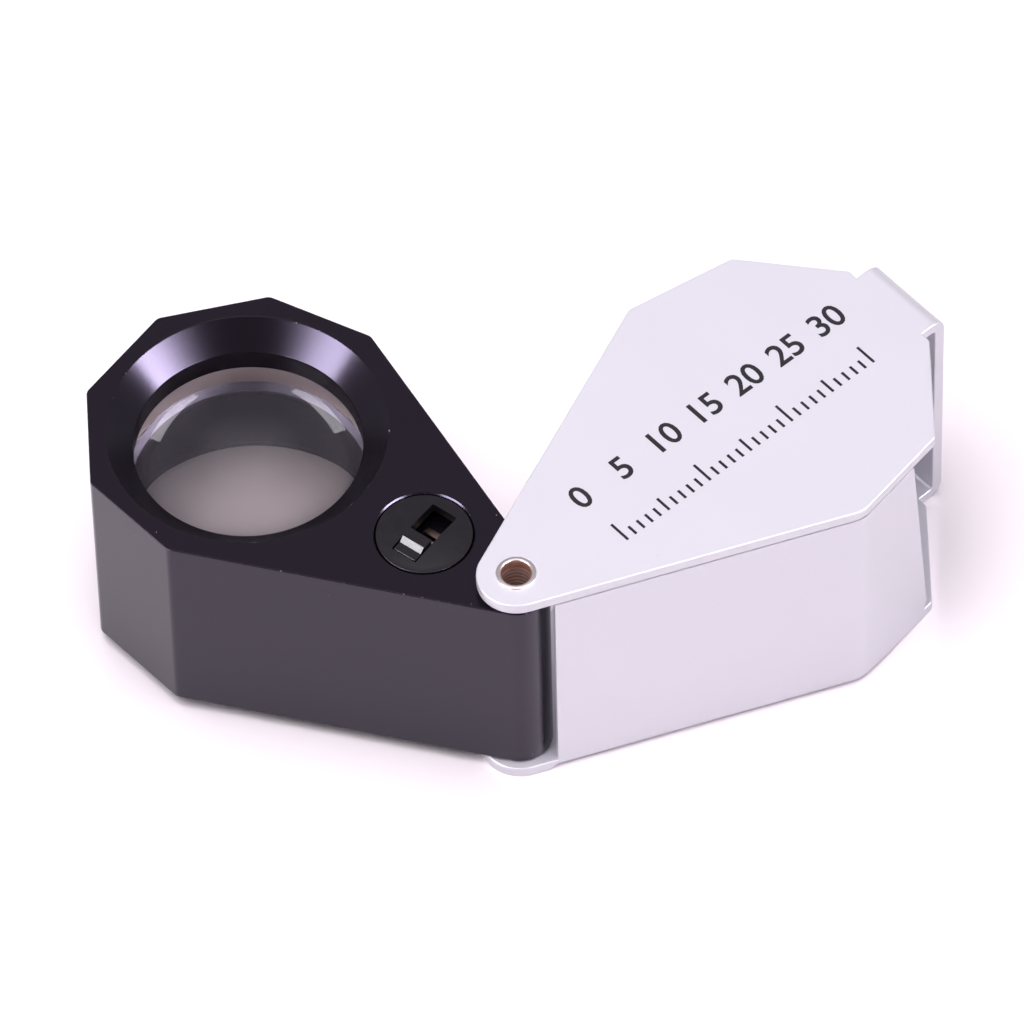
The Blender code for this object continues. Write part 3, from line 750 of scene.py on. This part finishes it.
def cover_outline(sizes):
    """Plan of both leaves with the strap. One flat follows the wall's outer face."""
    inradii = [INRADIUS + sizes.wall_gap + sizes.wall] + [INRADIUS + sizes.margin] * 4
    radii = [sizes.wall_bend] + [sizes.corner] * 5
    root = LENS_AXIS + inradii[-1]
    reach = COVER_HIGH.x + MM
    side = sizes.strap / 2
    tab = [(root, -side), (reach, -side), (reach, side), (root, side)]
    return teardrop(-COVER_LOW.x, inradii, radii, tab)


def bent_strip(sizes):
    """The sheet in side view, bent over at both ends of the strap, and wider than the leaves."""
    top = COVER_HIGH.z
    outer = sizes.bend
    inner = outer - sizes.sheet
    bend_x = COVER_HIGH.x - outer
    low = (bend_x, outer)
    high = (bend_x, top - outer)
    end = 2 * COVER_LOW.x
    steps = 10
    outline = [Vector((end, 0))]
    outline += arc(low, outer, -RIGHT_ANGLE, 0, steps) + arc(high, outer, 0, RIGHT_ANGLE, steps)
    outline += [Vector((end, top)), Vector((end, top - sizes.sheet))]
    outline += arc(high, inner, RIGHT_ANGLE, 0, steps) + arc(low, inner, 0, -RIGHT_ANGLE, steps)
    outline.append(Vector((end, sizes.sheet)))
    return side_prism(outline, 1.3 * INRADIUS)


def under_wall(edge, sizes):
    """Whether an edge runs along the taper or the bend that the wall stands on."""
    taper = (-TAPER_NORMAL, -COVER_LOW.x)
    flat = lens_side(-2, INRADIUS + sizes.wall_gap + sizes.wall)
    middle = (edge.verts[0].co + edge.verts[1].co).xy / 2
    near = 0.03 * MM
    past_start = middle.dot(direction(taper[0] + RIGHT_ANGLE)) > sizes.wall_start
    on_taper = abs(middle.dot(direction(taper[0])) - taper[1]) < near
    centre = meeting((taper[0], taper[1] - sizes.wall_bend), (flat[0], flat[1] - sizes.wall_bend))
    on_bend = abs((middle - centre).length - sizes.wall_bend) < near
    return past_start and (on_taper or on_bend)


def sheet_shape(sizes):
    """Leaves and strap in one sheet, with rounded edges, the foot of the wall and rivet holes."""
    over = 3 * MM
    plan = prism(cover_outline(sizes), -over, COVER_HIGH.z + over)
    bm = combined(bent_strip(sizes), [plan], "INTERSECT")
    along = direction(RIGHT_ANGLE - TAPER_NORMAL)
    bmesh.ops.bisect_plane(
        bm, geom=bm.verts[:] + bm.edges[:] + bm.faces[:], dist=WELD,
        plane_co=(*(along * sizes.wall_start), 0), plane_no=(*along, 0),
    )
    softened(bm, [e for e in level_edges(bm, 0) if under_wall(e, sizes)], sizes.wall_foot, 6)
    rim = [e for e in bm.edges if e.is_manifold and e.calc_face_angle() > math.radians(50)]
    softened(bm, rim, sizes.edge, 3)
    for vert in bm.verts:
        vert.co.z = min(max(vert.co.z, 0), COVER_HIGH.z)
    hole = 1.66 * MM
    seat = 2.02 * MM
    seat_top = 0.4 * MM
    profile = [(0, COVER_HIGH.z + over), (hole, COVER_HIGH.z + over), (hole, seat_top)]
    profile += [(seat, seat_top), (seat, -over), (0, -over)]
    return carved(bm, [spun(profile, 48)])


def wall_shape(sizes):
    """The wall along the taper, round its bend and along the first flat, where it ends aslant."""
    inset = 0.003 * MM
    taper = (-TAPER_NORMAL, -COVER_LOW.x - sizes.wall - inset)
    flat = lens_side(-2, INRADIUS + sizes.wall_gap - inset)
    taper_out = (taper[0], taper[1] + sizes.wall)
    flat_out = (flat[0], flat[1] + sizes.wall)
    along_taper = direction(taper[0] + RIGHT_ANGLE)
    along_flat = direction(flat[0] + RIGHT_ANGLE)
    foot = Vector((LENS_AXIS, 0)) + direction(flat[0]) * (INRADIUS + sizes.wall_gap)
    end = foot + along_flat * (sizes.ear_base + sizes.wall)
    outline = [direction(taper[0]) * taper_out[1] + along_taper * sizes.wall_start]
    outline += corner_arc(taper_out, flat_out, sizes.wall_bend, 12)
    outline += [end + direction(flat[0]) * sizes.wall, end]
    outline += reversed(corner_arc(taper, flat, sizes.wall_bend - sizes.wall, 12))
    outline.append(direction(taper[0]) * taper[1] + along_taper * sizes.wall_start)
    base = sizes.sheet - 0.15 * MM
    top = COVER_HIGH.z - sizes.sheet - 0.15 * MM
    bm = soft_prism(outline, base, top, 0.1 * MM, 2)
    reach = 4 * MM
    slant = filleted([
        (sizes.ear_base - 1.3 * MM, sizes.sheet / 2),
        (sizes.ear_base - 0.35 * MM, sizes.sheet + 0.05 * MM),
        (sizes.ear_base, sizes.sheet + 1.2 * MM, 1.0 * MM), (sizes.ear_top, top + 0.5 * MM),
        (sizes.ear_base + reach, top + 0.5 * MM), (sizes.ear_base + reach, sizes.sheet / 2),
    ])
    cut = side_prism(slant, reach)
    turned_to(cut, Matrix.Rotation(flat[0] + RIGHT_ANGLE, 4, "Z"))
    turned_to(cut, Matrix.Translation((*foot, 0)))
    return carved(bm, [cut])


class LOUPE_OT_cover(bpy.types.Operator):
    """Make the bent cover: two leaves, the end strap and the side wall with its ear"""

    bl_idname = "loupe.cover"
    bl_label = "Cover"

    def execute(self, context):
        sizes = context.scene.loupe_cover
        shell = welded(sheet_shape(sizes), [wall_shape(sizes)])
        piece("cover_shell", shell, "cover", ["satin_silver"], ["cover"])
        return {"FINISHED"}


class LOUPE_OT_print(bpy.types.Operator):
    """Print a plain millimetre scale on the upper leaf: a row of numbers and a row of ticks"""

    bl_idname = "loupe.print"
    bl_label = "Printed scale"

    def execute(self, context):
        ink = 0.012 * MM
        face = COVER_HIGH.z
        zero = 10 * MM
        tick_foot = -3.9 * MM
        parts = []
        for step in range(31):
            height = 2.3 * MM if step % 10 == 0 else 1.7 * MM if step % 5 == 0 else 1.1 * MM
            centre = (zero + step * MM, tick_foot + height / 2, face + ink / 2)
            parts.append(block((0.27 * MM, height, ink), centre))
        for number in range(0, 31, 5):
            foot = (zero + number * MM, 1.35 * MM, face)
            parts.append(numeral(str(number), 3.55 * MM, foot, ink))
        scale = gathered(parts)
        piece("cover_scale", scale, "cover", ["printed_ink"])
        return {"FINISHED"}


def numeral(text, size, spot, depth):
    """A number as thin raised ink, centred over a spot and thickened a little."""
    stroke = 0.09 * MM
    curve = bpy.data.curves.new("numeral", "FONT")
    curve.body = text
    curve.size = size
    curve.align_x = "CENTER"
    curve.extrude = depth / 2
    curve.offset = stroke / 2
    curve.resolution_u = 4
    bm = settled(linked("numeral", curve))
    bmesh.ops.translate(bm, vec=(*spot[:2], spot[2] + depth / 2), verts=bm.verts)
    return solid(bm)


# The pivot


class LOUPE_OT_pivot(bpy.types.Operator):
    """Make the hollow rivet, rolled over at both ends, and its two washers"""

    bl_idname = "loupe.pivot"
    bl_label = "Pivot"

    def execute(self, context):
        top = RIVET_HIGH.z
        base = RIVET_LOW.z
        seat = COVER_HIGH.z + 0.02 * MM
        bore = 1.38 * MM
        stem = 1.62 * MM
        flange = RIVET_HIGH.x
        low_seat = 0.25 * MM
        wave = 0.5 * MM
        inside = []
        count = int((top - base - 2 * wave) / wave)
        for index in range(count):
            height = base + wave + index * wave
            inside.append((bore + 0.035 * MM, height))
            inside.append((bore, height + wave / 2))
        profile = filleted([
            (stem, seat), (stem, low_seat), (flange, low_seat, 0.04 * MM),
            (flange, base, 0.06 * MM), (bore + 0.05 * MM, base, 0.06 * MM), *inside,
            (bore, top - 0.45 * MM), (bore + 0.02 * MM, top - 0.02 * MM, 0.11 * MM),
            (bore + 0.22 * MM, top, 0.12 * MM),
            (flange - 0.04 * MM, top - 0.05 * MM, 0.10 * MM), (flange, seat, 0.03 * MM),
            (stem + 0.02 * MM, seat),
        ], 5)
        rivet = spun(profile, 72, ring=True)
        piece("rolled_rivet", rivet, "cover", ["eyelet_metal"], ["pivot_rivet"])
        for name in ("pivot_washer_lower", "pivot_washer_upper"):
            low, high = COVER.box(name)
            edge = 0.05 * MM
            ring = filleted([
                (2.2 * MM, high.z), (high.x, high.z, edge), (high.x, low.z, edge),
                (1.75 * MM, low.z, edge), (1.75 * MM, high.z, edge), (2.1 * MM, high.z),
            ])
            washer = spun(ring, 64, ring=True)
            piece(name + "_ring", washer, "cover", ["washer_steel"], [name])
        return {"FINISHED"}


# The housing


def lens_bore(sizes, steps):
    """The cutter for the cone, the bore, the lens barrel and the lamp chamber."""
    top = BODY_HIGH.z
    over = 2 * MM
    seat = LENS_HIGH.z - dome_rise() + 0.2 * MM
    base = BODY_LOW.z
    profile = filleted([
        (0, top + over), (sizes.cone + 1.2 * MM, top + over),
        (sizes.cone + 1.2 * MM, top + 0.12 * MM), (sizes.cone, top, 0.22 * MM),
        (sizes.bore, top - sizes.cone_depth, 0.12 * MM), (sizes.bore, seat),
        (sizes.barrel, seat), (sizes.barrel, sizes.chamber_top),
        (sizes.chamber, sizes.chamber_top), (sizes.chamber, base + 0.25 * MM),
        (sizes.chamber + 0.3 * MM, base - 0.05 * MM), (sizes.chamber + 0.3 * MM, base - over),
        (0, base - over),
    ], 6)
    return spun(profile, steps, (LENS_AXIS, 0))


def round_cutter(radius, base, top, centre, steps, rims=()):
    """A round hole, chamfered where it meets the faces at the heights given by rims."""
    chamfer = 0.12 * MM
    over = 2 * MM
    profile = [(0, top + over), (radius, top + over), (radius, base - over), (0, base - over)]
    if "top" in rims:
        rim = [(radius + 2 * chamfer, top + over), (radius + 2 * chamfer, top + chamfer)]
        profile[1:2] = rim + [(radius, top - chamfer)]
    else:
        profile[0:2] = [(0, top), (radius, top)]
    if "base" in rims:
        rim = [(radius + 2 * chamfer, base - chamfer), (radius + 2 * chamfer, base - over)]
        profile[-2:-1] = [(radius, base + chamfer)] + rim
    else:
        profile[-2:] = [(radius, base), (0, base)]
    return spun(profile, steps, (centre, 0))


class LOUPE_OT_housing(bpy.types.Operator):
    """Make the faceted housing with its bores, pocket and wire ways"""

    bl_idname = "loupe.housing"
    bl_label = "Lens housing"

    def execute(self, context):
        sizes = context.scene.loupe_body
        steps = context.scene.loupe_stage.steps
        base = BODY_LOW.z
        top = BODY_HIGH.z
        outline = teardrop(-BODY_LOW.x, [INRADIUS] * 5, [sizes.corner] * 6)
        body = soft_prism(outline, base, top, sizes.edge)
        pocket_floor = sizes.pocket_floor
        both = ("top", "base")
        cutters = [
            lens_bore(sizes, steps),
            round_cutter(sizes.pocket, pocket_floor, top, SWITCH_AXIS, steps, ("top",)),
            round_cutter(sizes.cell_bore, base, sizes.cell_top, CELL_AXIS, steps, ("base",)),
            round_cutter(0.9 * MM, sizes.cell_top - MM, pocket_floor + MM, SWITCH_AXIS, 32),
            round_cutter(1.75 * MM, base, top, 0, 48, both),
        ]
        for name in ("wire_red", "wire_black"):
            low, high = HOUSING.box(name)
            side = (low.y + high.y) / 2
            width = MM
            run_start = SWITCH_AXIS + sizes.pocket / 2
            run_end = high.x + 0.2 * MM
            run_centre = ((run_start + run_end) / 2, side, high.z - width / 2 + 0.2 * MM)
            cutters.append(block((run_end - run_start, width, width), run_centre))
            drop = high.z + 0.2 * MM - sizes.chamber_top + MM
            drop_centre = (run_end - width / 2, side, high.z + 0.2 * MM - drop / 2)
            cutters.append(block((width, width, drop), drop_centre))
        shell = carved(body, cutters)
        piece("housing_shell", shell, "housing", ["black_anodised"], ["lens_housing"])
        return {"FINISHED"}


# The lens

LENS_CURVE = 25 * MM
LENS_NODES = ("lens_front", "lens_middle", "lens_rear")


def dome_rise():
    """How far the lens surface stands over its rim."""
    radius = (LENS_HIGH.y - LENS_LOW.y) / 2
    return LENS_CURVE - math.sqrt(LENS_CURVE**2 - radius**2)


class LOUPE_OT_lens(bpy.types.Operator):
    """Make the cemented triplet and the blackened tube that holds it"""

    bl_idname = "loupe.lens"
    bl_label = "Lens"

    def execute(self, context):
        steps = context.scene.loupe_stage.steps
        radius = (LENS_HIGH.y - LENS_LOW.y) / 2
        rim_top = LENS_HIGH.z - dome_rise()
        rim_base = HOUSING.box("lens_rear")[0].z + dome_rise()
        middle = (rim_top + rim_base) / 2
        chamfer = 0.12 * MM
        spread = math.asin((radius - chamfer) / LENS_CURVE)
        front_centre = (0, LENS_HIGH.z - LENS_CURVE)
        front = arc(front_centre, LENS_CURVE, RIGHT_ANGLE, RIGHT_ANGLE - spread, 24)
        rim = [(radius, rim_top - chamfer), (radius, rim_base + chamfer)]
        rear = [Vector((point[0], 2 * middle - point[1])) for point in reversed(front)]
        glass = spun(front + rim + rear, 2 * steps, (LENS_AXIS, 0))
        piece("lens_triplet", glass, "housing", ["optical_glass"], LENS_NODES, 25)

        edge_ring = [
            (radius + 0.08 * MM, rim_top - 0.2 * MM), (radius + 0.08 * MM, rim_base + 0.2 * MM),
            (radius - 0.06 * MM, rim_base + 0.2 * MM), (radius - 0.06 * MM, rim_top - 0.2 * MM),
        ]
        ground = spun(edge_ring, steps, (LENS_AXIS, 0), ring=True)
        piece("lens_edge", ground, "housing", ["ground_edge"])

        base, top, outer = HOUSING.round_box("lens_sleeve")
        bore = 10 * MM
        pitch = 0.6 * MM
        fall = math.sqrt(LENS_CURVE**2 - bore**2) - math.sqrt(LENS_CURVE**2 - outer**2)
        ridges = []
        count = int((top - fall - base - 2 * pitch) / pitch)
        flare_height = 1.8 * MM
        flare_slope = 0.55
        for index in range(count):
            height = base + pitch + index * pitch
            wide = bore + flare_slope * max(0, flare_height - (height - base))
            ridges += [(wide, height), (wide + 0.12 * MM, height + 0.8 * pitch)]
        profile = [(outer, top), (outer, base), (bore + flare_slope * flare_height, base), *ridges]
        profile.append((bore, top - fall))
        tube = spun(profile, steps, (LENS_AXIS, 0), ring=True)
        piece("lens_tube", tube, "housing", ["dark_metal"], ["lens_sleeve"])
        return {"FINISHED"}


# The lamps


def soft_ring(inner, outer, base, top, edge, steps):
    """A flat ring with its four rims rounded."""
    half_way = (inner + outer) / 2
    corners = [
        (half_way, top), (outer, top, edge), (outer, base, edge), (inner, base, edge),
        (inner, top, edge), (half_way - MM / 100, top),
    ]
    return spun(filleted(corners, 3), steps, (LENS_AXIS, 0), ring=True)


class LOUPE_OT_lamps(bpy.types.Operator):
    """Make the ring board with its six lamps and resistor, and the frosted ring over them"""

    bl_idname = "loupe.lamps"
    bl_label = "Lamps"

    def execute(self, context):
        steps = context.scene.loupe_stage.steps
        for node, name, finish in (
            ("lamp_board", "lamp_ring_board", "circuit_board"),
            ("lamp_window", "lamp_ring_window", "frosted_plastic"),
        ):
            base, top, outer = HOUSING.round_box(node)
            edge = 0.06 * MM if node == "lamp_board" else 0.2 * MM
            ring = soft_ring(11 * MM, outer, base, top, edge, steps)
            piece(name, ring, "housing", [finish], [node])
        for number in range(1, 7):
            self.make_lamp(number)
        self.make_resistor()
        return {"FINISHED"}

    def make_lamp(self, number):
        """A white case with a yellow lens on its underside and two solder pads."""
        node = f"lamp_{number}"
        low, high = HOUSING.box(node)
        centre = (low + high) / 2
        angle = math.atan2(centre.y, centre.x - LENS_AXIS)
        height = high.z - low.z
        case = block((1.3 * MM, 2.2 * MM, height * 0.8), (0, 0, height * 0.1), 0.06 * MM)
        dome = bmesh.new()
        bmesh.ops.create_uvsphere(dome, u_segments=20, v_segments=10, radius=0.5 * MM)
        bmesh.ops.scale(dome, vec=(1, 1.5, 0.55), verts=dome.verts)
        bmesh.ops.translate(dome, vec=(0, 0, -height * 0.22), verts=dome.verts)
        parts = [painted(dome, 0), painted(case, 1)]
        for side in (1, -1):
            spot = (0, side * 0.93 * MM, height * 0.5)
            pad = block((0.8 * MM, 0.32 * MM, 0.12 * MM), spot, 0.03 * MM)
            bmesh.ops.translate(pad, vec=(0, 0, -0.07 * MM), verts=pad.verts)
            parts.append(painted(pad, 2))
        whole = gathered(parts)
        turned_to(whole, Matrix.Rotation(angle, 4, "Z"))
        bmesh.ops.translate(whole, vec=centre, verts=whole.verts)
        finishes = ["lamp_resin", "lamp_case", "washer_steel"]
        piece(f"lamp_package_{number}", whole, "housing", finishes, [node])

    def make_resistor(self):
        """A dark chip with bright ends."""
        low, high = HOUSING.box("lamp_resistor")
        centre = (low + high) / 2
        size = high - low
        parts = [painted(block((size.x * 0.94, size.y * 0.6, size.z), (0, 0, 0), 0.04 * MM), 0)]
        for side in (1, -1):
            end = block((size.x, size.y * 0.2, size.z), (0, side * size.y * 0.4, 0), 0.04 * MM)
            parts.append(painted(end, 1))
        whole = gathered(parts)
        bmesh.ops.translate(whole, vec=centre, verts=whole.verts)
        finishes = ["resistor_ceramic", "washer_steel"]
        piece("chip_resistor", whole, "housing", finishes, ["lamp_resistor"])


# The battery compartment


class LOUPE_OT_cells(bpy.types.Operator):
    """Make the three button cells, their sleeve and the contact above them"""

    bl_idname = "loupe.cells"
    bl_label = "Button cells"

    def execute(self, context):
        centre = (CELL_AXIS, 0)
        for number in range(1, 4):
            node = f"button_cell_{number}"
            base, top, radius = HOUSING.round_box(node)
            rolled = radius - 0.35 * MM
            lid_radius = radius - 0.8 * MM
            crimp = base + 0.45 * MM
            can = [
                (0, top), (radius, top, 0.3 * MM), (radius, base + 0.75 * MM, 0.25 * MM),
                (rolled, crimp), (0, crimp),
            ]
            seal_top = base + 0.5 * MM
            seal_base = base + 0.3 * MM
            seal = [(0, seal_top), (rolled, seal_top), (rolled, seal_base), (0, seal_base)]
            lid_top = base + 0.4 * MM
            lid = [(0, lid_top), (lid_radius, lid_top), (lid_radius, base, 0.25 * MM), (0, base)]
            parts = []
            for corners, index in ((can, 0), (seal, 1), (lid, 0)):
                parts.append(painted(spun(filleted(corners), 64, centre), index))
            finishes = ["cell_steel", "black_plastic"]
            piece(f"cell_can_{number}", gathered(parts), "housing", finishes, [node])

        base, top, outer = HOUSING.round_box("cell_sleeve")
        inner = 5.9 * MM
        wall = [(outer, top), (outer, base), (inner, base), (inner, top)]
        sleeve = spun(wall, 64, centre, ring=True)
        piece("cell_wrap", sleeve, "housing", ["insulating_film"], ["cell_sleeve"])

        base, top, plate = HOUSING.round_box("cell_contact")
        stem = 0.6 * MM
        contact = filleted([
            (0, top), (stem, top, 0.15 * MM), (stem, base + 0.3 * MM, 0.2 * MM),
            (plate, base + 0.3 * MM, 0.05 * MM), (plate, base, 0.05 * MM), (0, base),
        ])
        bm = spun(contact, 48, centre)
        piece("cell_contact_plate", bm, "housing", ["contact_copper"], ["cell_contact"])
        return {"FINISHED"}


class LOUPE_OT_cap(bpy.types.Operator):
    """Make the coin-slotted battery cap and the spring on it"""

    bl_idname = "loupe.cap"
    bl_label = "Battery cap"

    def execute(self, context):
        base, top, radius = HOUSING.round_box("battery_cap")
        profile = filleted([
            (0, top), (radius, top, 0.1 * MM), (radius, base, 0.28 * MM),
            (radius - 0.75 * MM, base, 0.05 * MM),
            (radius - 0.9 * MM, base + 0.15 * MM, 0.05 * MM), (0, base + 0.15 * MM),
        ])
        cap = spun(profile, 96, (CELL_AXIS, 0))
        slot = block((8.8 * MM, 1.3 * MM, 1.6 * MM), (CELL_AXIS, 0, base - 0.15 * MM), 0.12 * MM)
        notches = [slot]
        for index in range(3):
            angle = FULL_TURN * index / 3 + RIGHT_ANGLE
            spot = Vector((CELL_AXIS, 0)) + (radius - 0.05 * MM) * direction(angle)
            notch = [(0, top + MM), (0.45 * MM, top + MM), (0.45 * MM, base - MM), (0, base - MM)]
            notches.append(spun(notch, 20, spot))
        cap = carved(cap, notches)
        piece("slotted_cap", cap, "cap", ["black_plastic"], ["battery_cap"])

        low, high = HOUSING.box("cap_spring")
        radius = 0.2 * MM
        wide = 4.5 * MM
        narrow = 1.9 * MM
        turns = 2
        count = 48 * turns
        route = []
        for index in range(count + 1):
            part = index / count
            reach = wide + (narrow - wide) * part
            spot = Vector((CELL_AXIS, 0)) + reach * direction(FULL_TURN * turns * part)
            route.append((*spot, low.z + radius + (high.z - low.z - 2 * radius) * part))
        spring = wire_mesh(route, radius)
        piece("coil_spring", spring, "cap", ["spring_steel"], ["cap_spring"])
        return {"FINISHED"}


# The switch


class LOUPE_OT_switch(bpy.types.Operator):
    """Make the switch: its round plate, stepped knob, contacts and base"""

    bl_idname = "loupe.switch"
    bl_label = "Switch"

    def execute(self, context):
        base, top, radius = HOUSING.round_box("switch_plate")
        edge = 0.06 * MM
        crown = 0.25 * MM
        land = radius - 0.2 * MM
        dome = [(land * step / 12, top + crown * (1 - (step / 12) ** 2)) for step in range(13)]
        disc = dome + filleted([
            (land + MM / 50, top), (radius, top, edge), (radius, base, edge / 2), (0, base),
        ])
        slot_size = (2.7 * MM, 6.2 * MM, 4 * MM)
        slot = block(slot_size, (SWITCH_AXIS, 0, top), 0.12 * MM, 3)
        plate = carved(spun(disc, 96, (SWITCH_AXIS, 0)), [slot])
        piece("switch_disc", plate, "housing", ["black_plastic"], ["switch_plate"])

        base, top, radius = HOUSING.round_box("switch_base")
        drum = filleted([(0, top), (radius, top, edge), (radius, base, edge), (0, base)])
        recess = block((2.2 * MM, 5.2 * MM, 1.6 * MM), (SWITCH_AXIS, 0, top))
        drum = carved(spun(drum, 64, (SWITCH_AXIS, 0)), [recess])
        piece("switch_block", drum, "housing", ["black_plastic"], ["switch_base"])
        self.make_slider()
        self.make_strips()
        return {"FINISHED"}

    def make_slider(self):
        """The carrier under the plate and the stepped knob that stands through the slot."""
        low, high = HOUSING.box("switch_slider")
        centre = (low + high) / 2
        thick = 0.8 * MM
        middle = (centre.x, centre.y, low.z + thick / 2)
        carrier = block((3.4 * MM, 3.0 * MM, thick), middle, 0.08 * MM)
        back = -1.25 * MM
        front = 1.25 * MM
        stair = filleted([
            (back, low.z + thick / 2), (front, low.z + thick / 2),
            (front, high.z - 0.5 * MM, 0.1 * MM), (0.35 * MM, high.z - 0.5 * MM, 0.06 * MM),
            (-0.15 * MM, high.z, 0.08 * MM), (back, high.z, 0.12 * MM),
        ])
        knob = side_prism(stair, 1.2 * MM)
        sharp = [edge for edge in knob.edges if edge.calc_face_angle(0) > math.radians(50)]
        softened(knob, sharp, 0.05 * MM, 2)
        turned_to(knob, Matrix.Rotation(RIGHT_ANGLE, 4, "Z"))
        bmesh.ops.translate(knob, vec=(centre.x, centre.y, 0), verts=knob.verts)
        whole = welded(carrier, [knob])
        piece("stepped_knob", whole, "slider", ["black_plastic"], ["switch_slider"])

    def make_strips(self):
        """The two spring strips in the slot, and the bridge under the slider."""
        for node, name, body in (
            ("switch_contact_1", "contact_strip_1", "housing"),
            ("switch_contact_2", "contact_strip_2", "housing"),
            ("slider_contact", "bridge_strip", "slider"),
        ):
            low, high = HOUSING.box(node)
            strip = block(high - low, (low + high) / 2, 0.04 * MM)
            piece(name, strip, body, ["contact_copper"], [node])


class LOUPE_OT_wires(bpy.types.Operator):
    """Run the two wires from the switch down to the lamp board"""

    bl_idname = "loupe.wires"
    bl_label = "Wires"

    def execute(self, context):
        for node in ("wire_red", "wire_black"):
            low, high = HOUSING.box(node)
            side = (low.y + high.y) / 2
            radius = (high.y - low.y) / 2
            level = high.z - radius
            drop = high.x - radius
            turn = 0.6 * MM
            bend = arc((drop - turn, level - turn), turn, RIGHT_ANGLE, 0, 8)
            route = [Vector((low.x, level)), *bend, Vector((drop, low.z))]
            route = [(along, side, height) for along, height in route]
            piece(node + "_lead", wire_mesh(route, radius), "housing", [node], [node])
        return {"FINISHED"}


# The stage


def studio_world():
    """Even pale surroundings: brighter overhead, darker behind the camera."""
    world = bpy.data.worlds.new("studio")
    world.use_nodes = True
    nodes = Nodes(world.node_tree)
    sight = nodes.node("ShaderNodeTexCoord", {}, {}, "Generated")
    rise = nodes.axis(sight, "Z")
    values = [sight, (0, -0.745, 0.667)]
    front = nodes.node("ShaderNodeVectorMath", {"operation": "DOT_PRODUCT"}, values, "Value")
    overhead = nodes.ramp(rise, 0.86, 0.98)
    dark = nodes.ramp(front, 0.72, 0.93)
    strength = (0.36 + overhead * 1.3) * (1 - 0.8 * dark)
    backdrop = world.node_tree.nodes["Background"]
    backdrop.inputs["Color"].default_value = (0.97, 0.92, 1.0, 1)
    world.node_tree.links.new(strength.socket, backdrop.inputs["Strength"])
    return world


def area_light(name, spot, target, size, radiance, tint, mirrored):
    """A soft oblong lamp that faces a target; it either shows in gloss or lights matt surfaces."""
    data = bpy.data.lights.new(name, "AREA")
    data.shape = "RECTANGLE"
    data.size, data.size_y = size
    data.energy = radiance * math.pi * size[0] * size[1]
    data.color = tint
    lamp = linked(name, data)
    lamp.location = spot
    lamp.visible_glossy = mirrored
    lamp.visible_transmission = mirrored
    lamp.visible_diffuse = not mirrored
    lamp.rotation_euler = (Vector(spot) - Vector(target)).to_track_quat("Z", "Y").to_euler()


class LOUPE_OT_stage(bpy.types.Operator):
    """Set up the pale table, the soft light and the camera"""

    bl_idname = "loupe.stage"
    bl_label = "Stage"

    def execute(self, context):
        settings = context.scene.loupe_stage
        scene = context.scene
        bm = bmesh.new()
        bmesh.ops.create_grid(bm, x_segments=8, y_segments=8, size=6)
        table = shown("table", bm)
        table.data.materials.append(finish_named("table_top"))

        scene.view_settings.view_transform = "Standard"
        scene.world = studio_world()
        target = (0, 0, 0.02)
        white = (0.99, 0.95, 1.0)
        area_light("softbox_left", (-0.84, -0.50, 0.55), target, (0.80, 0.28), 28, white, True)
        area_light("softbox_right", (0.84, -0.50, 0.55), target, (0.80, 0.28), 44, white, True)
        area_light("overhead", (-0.18, -0.15, 1.0), target, (1.0, 1.0), 4.7, white, False)

        data = bpy.data.cameras.new("camera")
        data.lens = settings.focal
        data.sensor_width = 36
        data.clip_start = 0.05
        data.clip_end = 20
        camera = linked("camera", data)
        roll = Matrix.Rotation(settings.camera_turn[1], 4, "Z")
        tilt = Matrix.Rotation(settings.camera_turn[0], 4, "X")
        heading = Matrix.Rotation(settings.camera_turn[2], 4, "Z")
        camera.matrix_world = Matrix.Translation(settings.camera_spot) @ heading @ tilt @ roll
        scene.camera = camera
        return {"FINISHED"}


# The add-on


class LOUPE_PT_pieces(bpy.types.Panel):
    """The loupe's pieces, in the order in which they are made"""

    bl_idname = "LOUPE_PT_pieces"
    bl_label = "Loupe"
    bl_space_type = "VIEW_3D"
    bl_region_type = "UI"
    bl_category = "Loupe"

    def draw(self, context):
        layout = self.layout
        for operator in OPERATORS:
            layout.operator(operator.bl_idname)
        for group in SETTINGS:
            box = layout.box()
            box.label(text=group.replace("_", " "))
            values = getattr(context.scene, group)
            for name in values.bl_rna.properties.keys():
                if name not in ("rna_type", "name"):
                    box.prop(values, name)


SETTINGS = {
    "loupe_cover": CoverSizes,
    "loupe_body": BodySizes,
    "loupe_colours": LoupeColours,
    "loupe_stage": StageSettings,
}
OPERATORS = (
    LOUPE_OT_stage,
    LOUPE_OT_cover,
    LOUPE_OT_print,
    LOUPE_OT_pivot,
    LOUPE_OT_housing,
    LOUPE_OT_lens,
    LOUPE_OT_lamps,
    LOUPE_OT_cells,
    LOUPE_OT_cap,
    LOUPE_OT_switch,
    LOUPE_OT_wires,
)
CLASSES = (*SETTINGS.values(), *OPERATORS, LOUPE_PT_pieces)


def register():
    for item in CLASSES:
        bpy.utils.register_class(item)
    for name, group in SETTINGS.items():
        setattr(bpy.types.Scene, name, PointerProperty(type=group))


def unregister():
    for name in SETTINGS:
        delattr(bpy.types.Scene, name)
    for item in reversed(CLASSES):
        bpy.utils.unregister_class(item)


def main():
    register()
    for operator in OPERATORS:
        family, name = operator.bl_idname.split(".")
        getattr(getattr(bpy.ops, family), name)()


if __name__ == "__main__":
    main()
